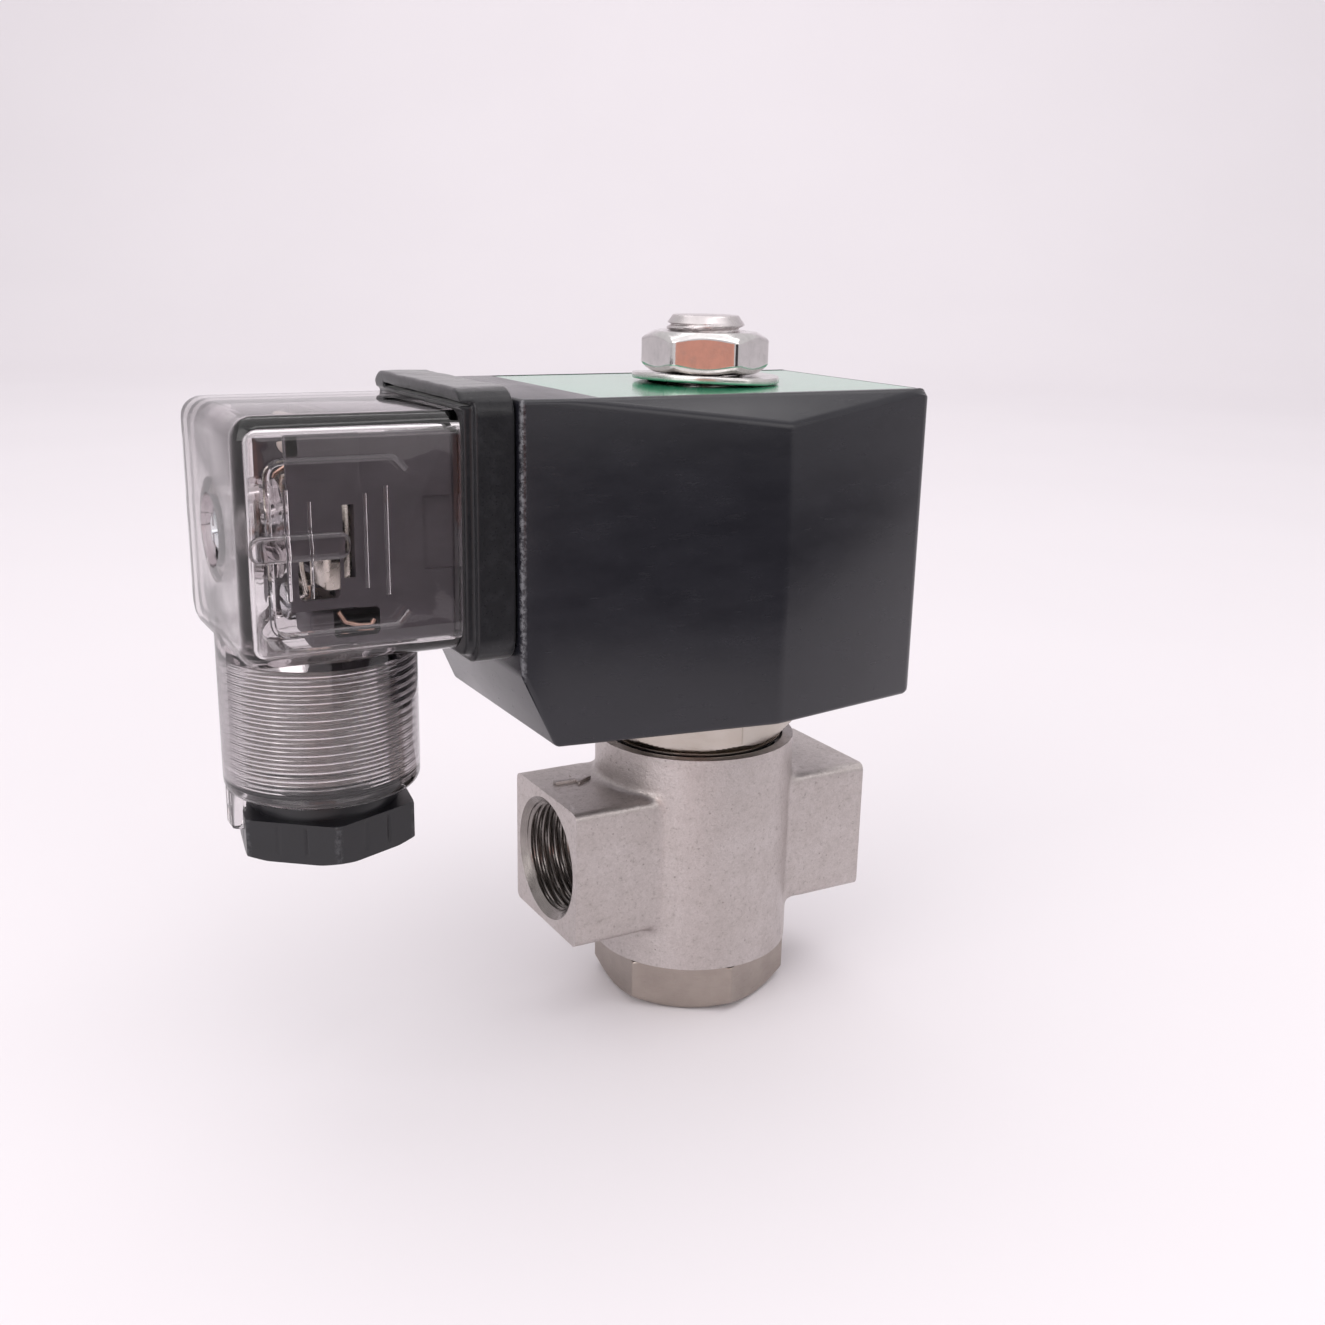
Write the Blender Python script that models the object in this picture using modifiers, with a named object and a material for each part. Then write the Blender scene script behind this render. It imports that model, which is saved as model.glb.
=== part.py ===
"""Solenoid valve: a two-port stainless valve body with an encapsulated coil and a plug-on cable connector.

Sizes below are millimetres; meshes are made in metres.  +Z is up along the armature tube, the connector
points to -X and the two ports lie along X.  The origin is the centre of the bottom plug's lower face.
Every solid that rests on or in a neighbour keeps a small gap to it.
"""

import math

import bmesh
import bpy
from mathutils import Matrix, Vector

MM = 0.001
GAP = 0.3

# Valve body and ports
BODY_R = 13.9
BODY_BOTTOM = 7.2
BODY_TOP = 37.6
PORT_REACH = 23.0
PORT_SQUARE = 18.9
PORT_Z = 22.3
PORT_HOLE_R = 7.475
PORT_DEPTH = 11.5
PORT_CHAMFER = 1.0
PLUG_BORE_R = 9.3
PLUG_BORE_TOP = 13.0
LOWER_CHAMBER_R = 8.0
LOWER_CHAMBER_TOP = 19.5
UPPER_BORE_R = 10.3
UPPER_BORE_BOTTOM = 27.0
UPPER_CHAMBER_R = 8.0
UPPER_CHAMBER_BOTTOM = 22.5
SEAT_R = 3.2
SEAT_TOP = 24.3
ORIFICE_R = 2.0
LOWER_PASSAGE_Z = 17.2
UPPER_PASSAGE_Z = 24.9

# Hexagons, as the distance across flats and the angle of one corner in degrees
PLUG_HEX = 24.0
PLUG_HEX_TOP = 6.9
PLUG_CORNER = 25.4
TUBE_HEX = 23.9
TUBE_HEX_BOTTOM = 38.0
TUBE_HEX_TOP = 43.9
TUBE_CORNER = 27.0
NUT_HEX = 14.8
NUT_BOTTOM = 87.3
NUT_TOP = 92.3
NUT_CORNER = 29.0
GLAND_HEX = 20.0
GLAND_CORNER = 21.5

# Armature tube, core and plunger
TUBE_R = 7.0
TUBE_INNER_R = 6.4
TUBE_BOTTOM = 30.5
TUBE_TOP = 80.0
CORE_R = 6.1
CORE_BOTTOM = 62.0
CORE_SHOULDER_TOP = 84.5
STUD_R = 5.0
STUD_TOP = 94.3
PLUNGER_R = 6.05
PLUNGER_BOTTOM = 25.2
PLUNGER_TOP = 60.2
SPRING_WIRE_R = 0.4
SPRING_R = 2.5
SPRING_BOTTOM = 46.8
SPRING_TOP = 61.5
SPRING_TURNS = 7

# Coil block
COIL_LEFT = -33.45
COIL_RIGHT = 24.7
COIL_BOTTOM = 44.2
COIL_TOP = 85.7
COIL_LEFT_HALF = 16.1
COIL_RIDGE_X = 0.2
COIL_RIDGE_HALF = 20.8
COIL_RIGHT_HALF = 16.8
COIL_FACET_HALF = 17.0
COIL_RIDGE_TOP = 82.7
SLOPE_TOP = 53.6
SLOPE_FOOT_X = -29.2
LABEL_LEFT = -23.6
LABEL_THICK = 0.25
LABEL_STEP = 0.45
YOKE_HALF_X = 21.1
YOKE_HALF_Y = 12.5
YOKE_PLATE = 2.5
YOKE_TOP = 81.5
BOBBIN_BOTTOM = 47.9
BOBBIN_TOP = 78.7
BOBBIN_R = 17.3
WINDING_R = 16.9
COIL_BORE_R = 7.4

# Connector interface on the coil's left face
FACE_Z = 70.5
CONTACT_OFFSET = 9.0
SPADE_WIDE = 6.3
SPADE_THICK = 0.8
SPADE_TIP = -46.5
ISLAND_TIP = -36.5
ISLAND_HALF_Y = 11.2
ISLAND_HALF_Z = 11.4

# Connector housing, gasket and terminal block
HOUSING_END = -64.8
HOUSING_MOUTH = -39.9
HOUSING_HALF = 14.1
HOUSING_BOTTOM = 56.5
HOUSING_TOP = 84.5
HOUSING_WALL = 1.8
HOUSING_ROUND = 2.5
HOUSING_LOW_ROUND = 5.0
SCREW_BOSS_R = 5.45
SCREW_BOSS_TIP = -56.6
SCREW_RECESS_R = 4.2
SCREW_RECESS_FLOOR = -60.0
GASKET_MOUTH = -39.6
GASKET_BACK = -33.8
GASKET_HALF = 15.2
GASKET_BOTTOM = 55.0
GASKET_TOP = 86.0
LIP_TIP = -40.2
LIP_TOP = 87.1
BLOCK_REAR = -52.0
BOARD_FACE = -53.4
BLOCK_FRONT = -36.9

# Cable gland
GLAND_X = -53.0
GLAND_R = 11.8
GLAND_BOTTOM = 38.7
GLAND_BORE_R = 9.3
GLAND_SHOULDER = 54.5
GLAND_HOLE_R = 5.0
GLAND_NUT_BOTTOM = 31.6
GLAND_NUT_TOP = 36.6
GLAND_SLEEVE_TOP = 41.0
CABLE_HOLE_R = 3.6

FINE_STEPS = 48
PLAIN_STEPS = 32
SMALL_STEPS = 20


def clear_scene():
    """Start from an empty file."""
    for old in list(bpy.data.objects):
        bpy.data.objects.remove(old, do_unlink=True)


def new_collection(name):
    collection = bpy.data.collections.new(name)
    bpy.context.scene.collection.children.link(collection)
    return collection


def new_material(name, colour, roughness, metallic=0.0, alpha=1.0):
    material = bpy.data.materials.new(name)
    material.use_nodes = True
    shader = material.node_tree.nodes["Principled BSDF"]
    shader.inputs["Base Color"].default_value = (*colour, 1.0)
    shader.inputs["Roughness"].default_value = roughness
    shader.inputs["Metallic"].default_value = metallic
    shader.inputs["Alpha"].default_value = alpha
    return material


clear_scene()
PARTS = new_collection("solenoid_valve")
CUTTERS = new_collection("solenoid_valve_cutters")


def new_object(name, mesh, material=None):
    """A named part in the parts collection, or a cutter when it has no material."""
    item = bpy.data.objects.new(name, mesh)
    if material:
        PARTS.objects.link(item)
        mesh.materials.append(material)
    else:
        CUTTERS.objects.link(item)
        item.hide_render = True
        item.display_type = "WIRE"
    return item


def mesh_from(bm, name, smooth_angle=None):
    mesh = bpy.data.meshes.new(name)
    bm.to_mesh(mesh)
    bm.free()
    if smooth_angle is not None:
        mesh.shade_smooth()
        mesh.set_sharp_from_angle(angle=math.radians(smooth_angle))
    return mesh


def box(name, low, high, material=None, bevels=()):
    """A block between two corners; each bevel is (test of an edge's two ends, radius, segments)."""
    low, high = Vector(low), Vector(high)
    bm = bmesh.new()
    bmesh.ops.create_cube(bm, size=1.0)
    bmesh.ops.scale(bm, vec=(high - low) * MM, verts=bm.verts)
    half = (high - low) * MM / 2
    for test, radius, segments in bevels:
        chosen = [e for e in bm.edges if test([Vector(map(sign_of, v.co, half)) for v in e.verts])]
        bmesh.ops.bevel(
            bm, geom=chosen, offset=radius * MM, segments=segments, profile=0.5, affect="EDGES"
        )
    item = new_object(name, mesh_from(bm, name, 35), material)
    item.location = (low + high) / 2 * MM
    return item


def sign_of(value, limit):
    """-1 or 1 at the two faces of a block, 0 between them."""
    if abs(abs(value) - limit) > 1e-7:
        return 0
    return math.copysign(1, value)


def along(axis):
    """A test for a block's edges that run along one axis."""
    return lambda ends: abs(ends[0][axis] - ends[1][axis]) == 2


def any_edge(ends):
    return True


def turned(name, profile, at=(0, 0, 0), toward=(0, 0, 1), material=None, steps=FINE_STEPS):
    """A solid of revolution.  The profile is (radius, height) down its outer side; a ring's is closed."""
    mesh = bpy.data.meshes.new(name)
    count = len(profile)
    edges = [(i, i + 1) for i in range(count - 1)]
    if profile[0][0] > 0:
        edges.append((count - 1, 0))
    mesh.from_pydata([(r * MM, 0, z * MM) for r, z in profile], edges, [])
    item = new_object(name, mesh, material)
    item.location = Vector(at) * MM
    item.rotation_euler = Vector(toward).to_track_quat("Z", "Y").to_euler()
    screw = item.modifiers.new("Screw", "SCREW")
    screw.steps = screw.render_steps = steps
    screw.use_merge_vertices = True
    screw.merge_threshold = 0.00001
    screw.use_smooth_shade = True
    return item


def cylinder(name, radius, low, high, at=(0, 0, 0), toward=(0, 0, 1), material=None, steps=FINE_STEPS):
    profile = [(0, high), (radius, high), (radius, low), (0, low)]
    return turned(name, profile, at, toward, material, steps)


def ring(name, inner, outer, low, high, at=(0, 0, 0), toward=(0, 0, 1), material=None, steps=FINE_STEPS):
    profile = [(inner, high), (outer, high), (outer, low), (inner, low)]
    return turned(name, profile, at, toward, material, steps)


def hexagon(name, across_flats, low, high, corner, at=(0, 0), material=None):
    """A hexagonal prism with one corner at the given angle."""
    radius = across_flats / math.sqrt(3)
    bm = bmesh.new()
    bmesh.ops.create_cone(
        bm, cap_ends=True, segments=6, radius1=radius * MM, radius2=radius * MM, depth=(high - low) * MM
    )
    first = max(bm.verts, key=lambda v: v.co.x)
    turn = math.radians(corner) - math.atan2(first.co.y, first.co.x)
    bmesh.ops.rotate(bm, cent=(0, 0, 0), matrix=Matrix.Rotation(turn, 3, "Z"), verts=bm.verts)
    item = new_object(name, mesh_from(bm, name), material)
    item.location = Vector((at[0], at[1], (low + high) / 2)) * MM
    return item


def combine(target, other, operation):
    modifier = target.modifiers.new(operation.title(), "BOOLEAN")
    modifier.operation = operation
    modifier.object = other
    return target


def cut(target, *cutters):
    for cutter in cutters:
        combine(target, cutter, "DIFFERENCE")
    return target


def join(target, *others):
    for other in others:
        combine(target, other, "UNION")
    return target


def keep_inside(target, envelope):
    return combine(target, envelope, "INTERSECT")


def chamfer_envelope(name, across_flats, low, high, low_chamfer, high_chamfer, at=(0, 0, 0)):
    """The turned shape that takes a hexagon's corners off at its ends."""
    flat_r = across_flats / 2 - 0.2
    corner_r = across_flats / math.sqrt(3) + 1.0
    rise = corner_r - flat_r
    upper = [(corner_r, high + 1)]
    if high_chamfer:
        upper = [(flat_r, high), (corner_r, high - rise * high_chamfer)]
    lower = [(corner_r, low - 1)]
    if low_chamfer:
        lower = [(corner_r, low + rise * low_chamfer), (flat_r, low)]
    profile = [(0, upper[0][1]), *upper, *lower, (0, lower[-1][1])]
    return turned(name, profile, at)


def anchor(name, at, *children):
    """An empty on a joint's axis that carries the parts of one moving body."""
    empty = bpy.data.objects.new(name, None)
    PARTS.objects.link(empty)
    empty.location = Vector(at) * MM
    for child in children:
        child.parent = empty
        child.matrix_parent_inverse = Matrix.Translation(empty.location).inverted()
    return empty


CAST_STEEL = new_material("cast_stainless", (0.50, 0.48, 0.46), 0.45, 1.0)
TURNED_STEEL = new_material("turned_stainless", (0.42, 0.38, 0.34), 0.32, 1.0)
BRIGHT_STEEL = new_material("bright_steel", (0.62, 0.60, 0.58), 0.18, 1.0)
MAGNET_STEEL = new_material("magnetic_steel", (0.36, 0.36, 0.37), 0.4, 1.0)
SPRING_STEEL = new_material("spring_steel", (0.55, 0.55, 0.56), 0.25, 1.0)
COPPER = new_material("copper", (0.72, 0.36, 0.2), 0.3, 1.0)
BRASS = new_material("brass", (0.72, 0.55, 0.26), 0.3, 1.0)
TIN = new_material("tinned_brass", (0.62, 0.62, 0.6), 0.3, 1.0)
ZINC = new_material("zinc_plated_steel", (0.62, 0.66, 0.72), 0.25, 1.0)
COIL_PLASTIC = new_material("coil_plastic", (0.028, 0.028, 0.035), 0.38)
BOBBIN_PLASTIC = new_material("bobbin_plastic", (0.75, 0.72, 0.62), 0.5)
BLOCK_PLASTIC = new_material("block_plastic", (0.02, 0.02, 0.022), 0.45)
GLAND_PLASTIC = new_material("gland_plastic", (0.015, 0.015, 0.017), 0.42)
SMOKED_PLASTIC = new_material("smoked_plastic", (0.42, 0.38, 0.38), 0.12, 0.0, 0.35)
LED_PLASTIC = new_material("led_plastic", (0.75, 0.12, 0.08), 0.15)
BOARD = new_material("circuit_board", (0.05, 0.22, 0.12), 0.5)
RESISTOR = new_material("resistor", (0.55, 0.42, 0.28), 0.5)
LABEL = new_material("label_green", (0.10, 0.42, 0.24), 0.35)
BLACK_RUBBER = new_material("black_rubber", (0.012, 0.012, 0.013), 0.7)
SEAL_RUBBER = new_material("seal_rubber", (0.03, 0.025, 0.022), 0.6)


def make_valve_body():
    """Cast body: a cylinder crossed by a square bar that holds both ports, bored out inside."""
    body = cylinder("valve_body", BODY_R, BODY_BOTTOM, BODY_TOP, material=CAST_STEEL, steps=64)
    half = PORT_SQUARE / 2
    bar = box(
        "port_bar",
        (-PORT_REACH, -half, PORT_Z - half),
        (PORT_REACH, half, PORT_Z + half),
        bevels=((any_edge, 0.7, 2),),
    )
    join(body, bar)
    for side, name in ((-1, "left"), (1, "right")):
        mouth = PORT_REACH + 1
        entry_r = PORT_HOLE_R + PORT_CHAMFER
        profile = [
            (0, mouth),
            (entry_r + 1, mouth),
            (entry_r, PORT_REACH),
            (PORT_HOLE_R, PORT_REACH - PORT_CHAMFER),
            (PORT_HOLE_R, PORT_DEPTH),
            (0, PORT_DEPTH),
        ]
        port = turned(f"{name}_port_cutter", profile, (0, 0, PORT_Z), (side, 0, 0), steps=PLAIN_STEPS)
        passage_z = LOWER_PASSAGE_Z if side < 0 else UPPER_PASSAGE_Z
        passage = cylinder(
            f"{name}_passage_cutter", ORIFICE_R, 5, PORT_DEPTH + 1, (0, 0, passage_z), (side, 0, 0), steps=12
        )
        cut(body, port, passage)
    under = BODY_BOTTOM - 1
    lower_profile = [
        (0, LOWER_CHAMBER_TOP),
        (LOWER_CHAMBER_R, LOWER_CHAMBER_TOP),
        (LOWER_CHAMBER_R, PLUG_BORE_TOP),
        (PLUG_BORE_R, PLUG_BORE_TOP),
        (PLUG_BORE_R, BODY_BOTTOM + 1.8),
        (11.2, BODY_BOTTOM + 1.8),
        (11.2, under),
        (0, under),
    ]
    over = BODY_TOP + 1
    upper_profile = [
        (SEAT_R, over),
        (12.4, over),
        (12.4, BODY_TOP - 1.7),
        (UPPER_BORE_R, BODY_TOP - 1.7),
        (UPPER_BORE_R, UPPER_BORE_BOTTOM),
        (UPPER_CHAMBER_R, UPPER_BORE_BOTTOM),
        (UPPER_CHAMBER_R, UPPER_CHAMBER_BOTTOM),
        (SEAT_R + 0.8, UPPER_CHAMBER_BOTTOM),
        (SEAT_R, SEAT_TOP - 0.5),
    ]
    cut(
        body,
        turned("lower_bore_cutter", lower_profile, steps=PLAIN_STEPS),
        turned("upper_bore_cutter", upper_profile, steps=PLAIN_STEPS),
        cylinder("seat_face_cutter", SEAT_R + 0.5, SEAT_TOP, over, steps=PLAIN_STEPS),
        cylinder("orifice_cutter", ORIFICE_R, 10, over, steps=PLAIN_STEPS),
    )


def make_bottom_plug():
    plug = hexagon("bottom_plug", PLUG_HEX, 0, PLUG_HEX_TOP, PLUG_CORNER, material=TURNED_STEEL)
    keep_inside(plug, chamfer_envelope("plug_chamfer", PLUG_HEX, 0, PLUG_HEX_TOP, 0.58, 0))
    spigot_r = PLUG_BORE_R - GAP
    spigot_top = PLUG_BORE_TOP - GAP
    profile = [(5, spigot_top), (spigot_r, spigot_top), (spigot_r, 5), (5, 5)]
    join(plug, turned("plug_spigot", profile, steps=PLAIN_STEPS))


def make_seal_ring(name, radius, section, z):
    """An O-ring: a torus of a round section."""
    sides = 6
    profile = []
    for i in range(sides):
        angle = math.pi / 2 - 2 * math.pi * i / sides
        profile.append((radius + section * math.cos(angle), section * math.sin(angle)))
    return turned(name, profile, (0, 0, z), material=SEAL_RUBBER, steps=24)


def make_tube_parts():
    """The hexagon that screws into the body, the thin armature tube, the core with its stud, and its ring."""
    base = hexagon("tube_hex", TUBE_HEX, TUBE_HEX_BOTTOM, TUBE_HEX_TOP, TUBE_CORNER, material=TURNED_STEEL)
    keep_inside(
        base, chamfer_envelope("tube_hex_chamfer", TUBE_HEX, TUBE_HEX_BOTTOM, TUBE_HEX_TOP, 0.5, 0.3)
    )
    spigot_r = UPPER_BORE_R - GAP
    spigot_low = UPPER_BORE_BOTTOM + 0.5
    join(base, cylinder("tube_spigot", spigot_r, spigot_low, TUBE_HEX_BOTTOM + 1, steps=PLAIN_STEPS))
    cut(base, cylinder("tube_hex_bore", TUBE_R + GAP, spigot_low - 1, TUBE_HEX_TOP + 1, steps=PLAIN_STEPS))
    ring("armature_tube", TUBE_INNER_R, TUBE_R, TUBE_BOTTOM, TUBE_TOP, material=TURNED_STEEL, steps=24)
    chamfer = 1.2
    groove_in, groove_out, groove_deep = 4.2, 5.3, 2.0
    core_profile = [
        (0, STUD_TOP),
        (STUD_R - chamfer, STUD_TOP),
        (STUD_R, STUD_TOP - chamfer),
        (STUD_R, CORE_SHOULDER_TOP),
        (TUBE_R, CORE_SHOULDER_TOP),
        (TUBE_R, TUBE_TOP + GAP),
        (CORE_R, TUBE_TOP + GAP),
        (CORE_R, CORE_BOTTOM),
        (groove_out, CORE_BOTTOM),
        (groove_out, CORE_BOTTOM + groove_deep),
        (groove_in, CORE_BOTTOM + groove_deep),
        (groove_in, CORE_BOTTOM),
        (0, CORE_BOTTOM),
    ]
    turned("fixed_core", core_profile, material=BRIGHT_STEEL, steps=PLAIN_STEPS)
    ring(
        "shading_ring",
        groove_in + 0.25,
        groove_out - 0.25,
        CORE_BOTTOM + 0.1,
        CORE_BOTTOM + groove_deep - GAP,
        material=COPPER,
        steps=24,
    )


def make_plunger():
    seal_r, seal_top, seal_bottom = 3.5, 28.2, SEAT_TOP + GAP
    well_r, well_floor = SPRING_R + SPRING_WIRE_R + GAP, SPRING_BOTTOM - 0.8
    profile = [
        (well_r, PLUNGER_TOP),
        (PLUNGER_R, PLUNGER_TOP),
        (PLUNGER_R, PLUNGER_BOTTOM),
        (seal_r + GAP, PLUNGER_BOTTOM),
        (seal_r + GAP, seal_top + GAP),
        (0, seal_top + GAP),
    ]
    outline = [(0, well_floor), (well_r, well_floor)] + profile
    plunger = turned("plunger", outline, material=MAGNET_STEEL, steps=PLAIN_STEPS)
    seal = cylinder(
        "plunger_seal", seal_r, seal_bottom, seal_top, material=SEAL_RUBBER, steps=SMALL_STEPS
    )
    anchor("plunger_axis", (0, 0, PLUNGER_BOTTOM), plunger, seal)


def make_return_spring():
    points_per_turn = 8
    curve = bpy.data.curves.new("return_spring", "CURVE")
    curve.dimensions = "3D"
    curve.bevel_depth = SPRING_WIRE_R * MM
    curve.bevel_resolution = 1
    curve.use_fill_caps = True
    spline = curve.splines.new("POLY")
    count = SPRING_TURNS * points_per_turn + 1
    spline.points.add(count - 1)
    low, high = SPRING_BOTTOM + SPRING_WIRE_R, SPRING_TOP - SPRING_WIRE_R
    for i, point in enumerate(spline.points):
        angle = 2 * math.pi * i / points_per_turn
        z = low + (high - low) * i / (count - 1)
        point.co = (SPRING_R * math.cos(angle) * MM, SPRING_R * math.sin(angle) * MM, z * MM, 1)
    new_object("return_spring", curve, SPRING_STEEL)


def make_top_fasteners():
    washer_bottom = COIL_TOP + GAP
    ring("top_washer", STUD_R + GAP, 9.7, washer_bottom, NUT_BOTTOM - GAP, material=BRIGHT_STEEL)
    nut = hexagon("top_nut", NUT_HEX, NUT_BOTTOM, NUT_TOP, NUT_CORNER, material=BRIGHT_STEEL)
    keep_inside(nut, chamfer_envelope("top_nut_chamfer", NUT_HEX, NUT_BOTTOM, NUT_TOP, 0.6, 0.6))
    cut(nut, cylinder("top_nut_bore", STUD_R + GAP, NUT_BOTTOM - 1, NUT_TOP + 1, steps=PLAIN_STEPS))


def coil_outline():
    """The coil block seen from above, anticlockwise, with its widest point at the ridge."""
    near = [(COIL_LEFT, -COIL_LEFT_HALF), (COIL_RIDGE_X, -COIL_RIDGE_HALF), (COIL_RIGHT, -COIL_RIGHT_HALF)]
    return near + [(x, -y) for x, y in reversed(near)]


def wedge(name, edge_low, edge_high, away):
    """A big slab whose inner face holds the line through two points; it lies away from the part."""
    start, end, away = Vector(edge_low), Vector(edge_high), Vector(away)
    across = Vector((0, 1, 0)) if abs((end - start).x) > 1e-6 else Vector((1, 0, 0))
    slope = (end - start).normalized()
    normal = slope.cross(across).normalized()
    if normal.dot(away) < 0:
        normal = -normal
    size = 100
    slab = box(name, (-size, -size, 0), (size, size, size))
    turn = Matrix((slope, normal.cross(slope), normal)).transposed()
    slab.rotation_euler = turn.to_euler()
    slab.location = ((start + end) / 2 + normal * size / 2) * MM
    return slab


def make_coil_block():
    """The moulded block with its hollow for the magnet frame, and an island that carries the contacts."""
    curve = bpy.data.curves.new("coil_outline", "CURVE")
    curve.dimensions = "2D"
    curve.fill_mode = "BOTH"
    curve.extrude = (COIL_TOP - COIL_BOTTOM) / 2 * MM
    spline = curve.splines.new("POLY")
    outline = coil_outline()
    spline.points.add(len(outline) - 1)
    for point, (x, y) in zip(spline.points, outline):
        point.co = (x * MM, y * MM, 0, 1)
    spline.use_cyclic_u = True
    shape = bpy.data.objects.new("coil_outline", curve)
    CUTTERS.objects.link(shape)
    bpy.context.view_layer.update()
    mesh = bpy.data.meshes.new_from_object(shape.evaluated_get(bpy.context.evaluated_depsgraph_get()))
    bpy.data.objects.remove(shape)
    bm = bmesh.new()
    bm.from_mesh(mesh)
    bmesh.ops.remove_doubles(bm, verts=bm.verts, dist=0.00001)
    bmesh.ops.recalc_face_normals(bm, faces=bm.faces)
    bm.to_mesh(mesh)
    bm.free()
    mesh.materials.clear()
    block = new_object("coil_encapsulation", mesh, COIL_PLASTIC)
    block.location = (0, 0, (COIL_TOP + COIL_BOTTOM) / 2 * MM)
    slope = wedge("coil_slope", (SLOPE_FOOT_X, 0, COIL_BOTTOM), (COIL_LEFT, 0, SLOPE_TOP), (-1, 0, -1))
    facets = [
        wedge(
            f"coil_facet_{name}",
            (0, side * COIL_RIDGE_HALF, COIL_RIDGE_TOP),
            (0, side * COIL_FACET_HALF, COIL_TOP),
            (0, side, 1),
        )
        for side, name in ((-1, "front"), (1, "back"))
    ]
    cut(block, slope, *facets)
    island = box(
        "contact_island",
        (ISLAND_TIP, -ISLAND_HALF_Y, FACE_Z - ISLAND_HALF_Z),
        (COIL_LEFT + 2, ISLAND_HALF_Y, FACE_Z + ISLAND_HALF_Z),
    )
    join(block, island)
    step = box("label_step", (LABEL_LEFT, -30, COIL_TOP - LABEL_STEP), (COIL_RIGHT + 5, 30, COIL_TOP + 5))
    hollow_x, hollow_y = YOKE_HALF_X + GAP, YOKE_HALF_Y + GAP
    frame_space = box(
        "frame_space", (-hollow_x, -hollow_y, COIL_BOTTOM - 1), (hollow_x, hollow_y, YOKE_TOP + GAP)
    )
    winding_space = cylinder("winding_space", BOBBIN_R + 0.4, BOBBIN_BOTTOM - GAP, BOBBIN_TOP + GAP)
    bore = cylinder("coil_bore", COIL_BORE_R, YOKE_TOP - 1, COIL_TOP + 5, steps=PLAIN_STEPS)
    cut(block, step, frame_space, winding_space, bore)
    slots = [slot_for(name, centre, wide) for name, centre, wide in contact_places()]
    insert_hole = cylinder(
        "insert_hole", 2.9, -ISLAND_TIP - 9, -ISLAND_TIP + 1, (0, 0, FACE_Z), (-1, 0, 0), steps=SMALL_STEPS
    )
    cut(block, *slots, insert_hole)
    return block


def contact_places():
    """Name, (y, z) centre and wide direction of the two line blades and the earth blade."""
    return (
        ("line", (-CONTACT_OFFSET, FACE_Z), "z"),
        ("neutral", (CONTACT_OFFSET, FACE_Z), "z"),
        ("earth", (0, FACE_Z - CONTACT_OFFSET), "y"),
    )


def blade(name, x_low, x_high, centre, wide, width, thickness, material=None):
    """A flat block along X; its width lies along Y or Z."""
    y_half, z_half = (width / 2, thickness / 2) if wide == "y" else (thickness / 2, width / 2)
    y, z = centre
    return box(name, (x_low, y - y_half, z - z_half), (x_high, y + y_half, z + z_half), material)


def slot_for(name, centre, wide):
    root = -22.0
    return blade(
        f"slot_{name}", ISLAND_TIP - 1, root, centre, wide, SPADE_WIDE + 2 * GAP, SPADE_THICK + 2 * GAP
    )


def make_coil_inside():
    frame = box(
        "yoke_frame",
        (-YOKE_HALF_X, -YOKE_HALF_Y, COIL_BOTTOM + 3.4),
        (YOKE_HALF_X, YOKE_HALF_Y, YOKE_TOP),
        MAGNET_STEEL,
    )
    inner = YOKE_HALF_X - YOKE_PLATE
    cut(
        frame,
        box("yoke_inside", (-inner, -20, COIL_BOTTOM), (inner, 20, YOKE_TOP - YOKE_PLATE)),
        cylinder("yoke_hole", COIL_BORE_R, YOKE_TOP - 4, YOKE_TOP + 1, steps=PLAIN_STEPS),
    )
    plate = box(
        "yoke_bottom_plate",
        (-YOKE_HALF_X, -YOKE_HALF_Y, COIL_BOTTOM + 0.1),
        (YOKE_HALF_X, YOKE_HALF_Y, COIL_BOTTOM + 3.1),
        MAGNET_STEEL,
    )
    cut(plate, cylinder("plate_hole", COIL_BORE_R, COIL_BOTTOM - 1, COIL_BOTTOM + 5, steps=PLAIN_STEPS))
    flange, neck_r = 1.5, 8.6
    bobbin_profile = [
        (COIL_BORE_R, BOBBIN_TOP),
        (BOBBIN_R, BOBBIN_TOP),
        (BOBBIN_R, BOBBIN_TOP - flange),
        (neck_r, BOBBIN_TOP - flange),
        (neck_r, BOBBIN_BOTTOM + flange),
        (BOBBIN_R, BOBBIN_BOTTOM + flange),
        (BOBBIN_R, BOBBIN_BOTTOM),
        (COIL_BORE_R, BOBBIN_BOTTOM),
    ]
    bobbin = turned("coil_bobbin", bobbin_profile, material=BOBBIN_PLASTIC, steps=24)
    winding = ring(
        "coil_winding",
        neck_r + GAP,
        WINDING_R,
        BOBBIN_BOTTOM + flange + GAP,
        BOBBIN_TOP - flange - GAP,
        material=COPPER,
        steps=24,
    )
    return [frame, plate, bobbin, winding]


def make_coil():
    """All that swivels round the armature tube: the block, magnet parts, contacts and label."""
    block = make_coil_block()
    inside = make_coil_inside()
    spades = [
        blade(f"spade_{name}", SPADE_TIP, -22.4, centre, wide, SPADE_WIDE, SPADE_THICK, TIN)
        for name, centre, wide in contact_places()
    ]
    insert = ring(
        "screw_insert",
        1.8,
        2.6,
        -ISLAND_TIP - 8.6,
        -ISLAND_TIP - 0.2,
        (0, 0, FACE_Z),
        (-1, 0, 0),
        BRASS,
        SMALL_STEPS,
    )
    label_half = COIL_RIGHT_HALF - 0.5
    label = box(
        "coil_label",
        (LABEL_LEFT + 0.2, -label_half, COIL_TOP - LABEL_THICK),
        (COIL_RIGHT - 0.7, label_half, COIL_TOP),
        LABEL,
    )
    cut(label, cylinder("label_hole", TUBE_R + 0.5, COIL_TOP - 2, COIL_TOP + 2, steps=PLAIN_STEPS))
    anchor("coil_axis", (0, 0, COIL_BOTTOM), block, *inside, *spades, insert, label, make_gasket())


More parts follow.
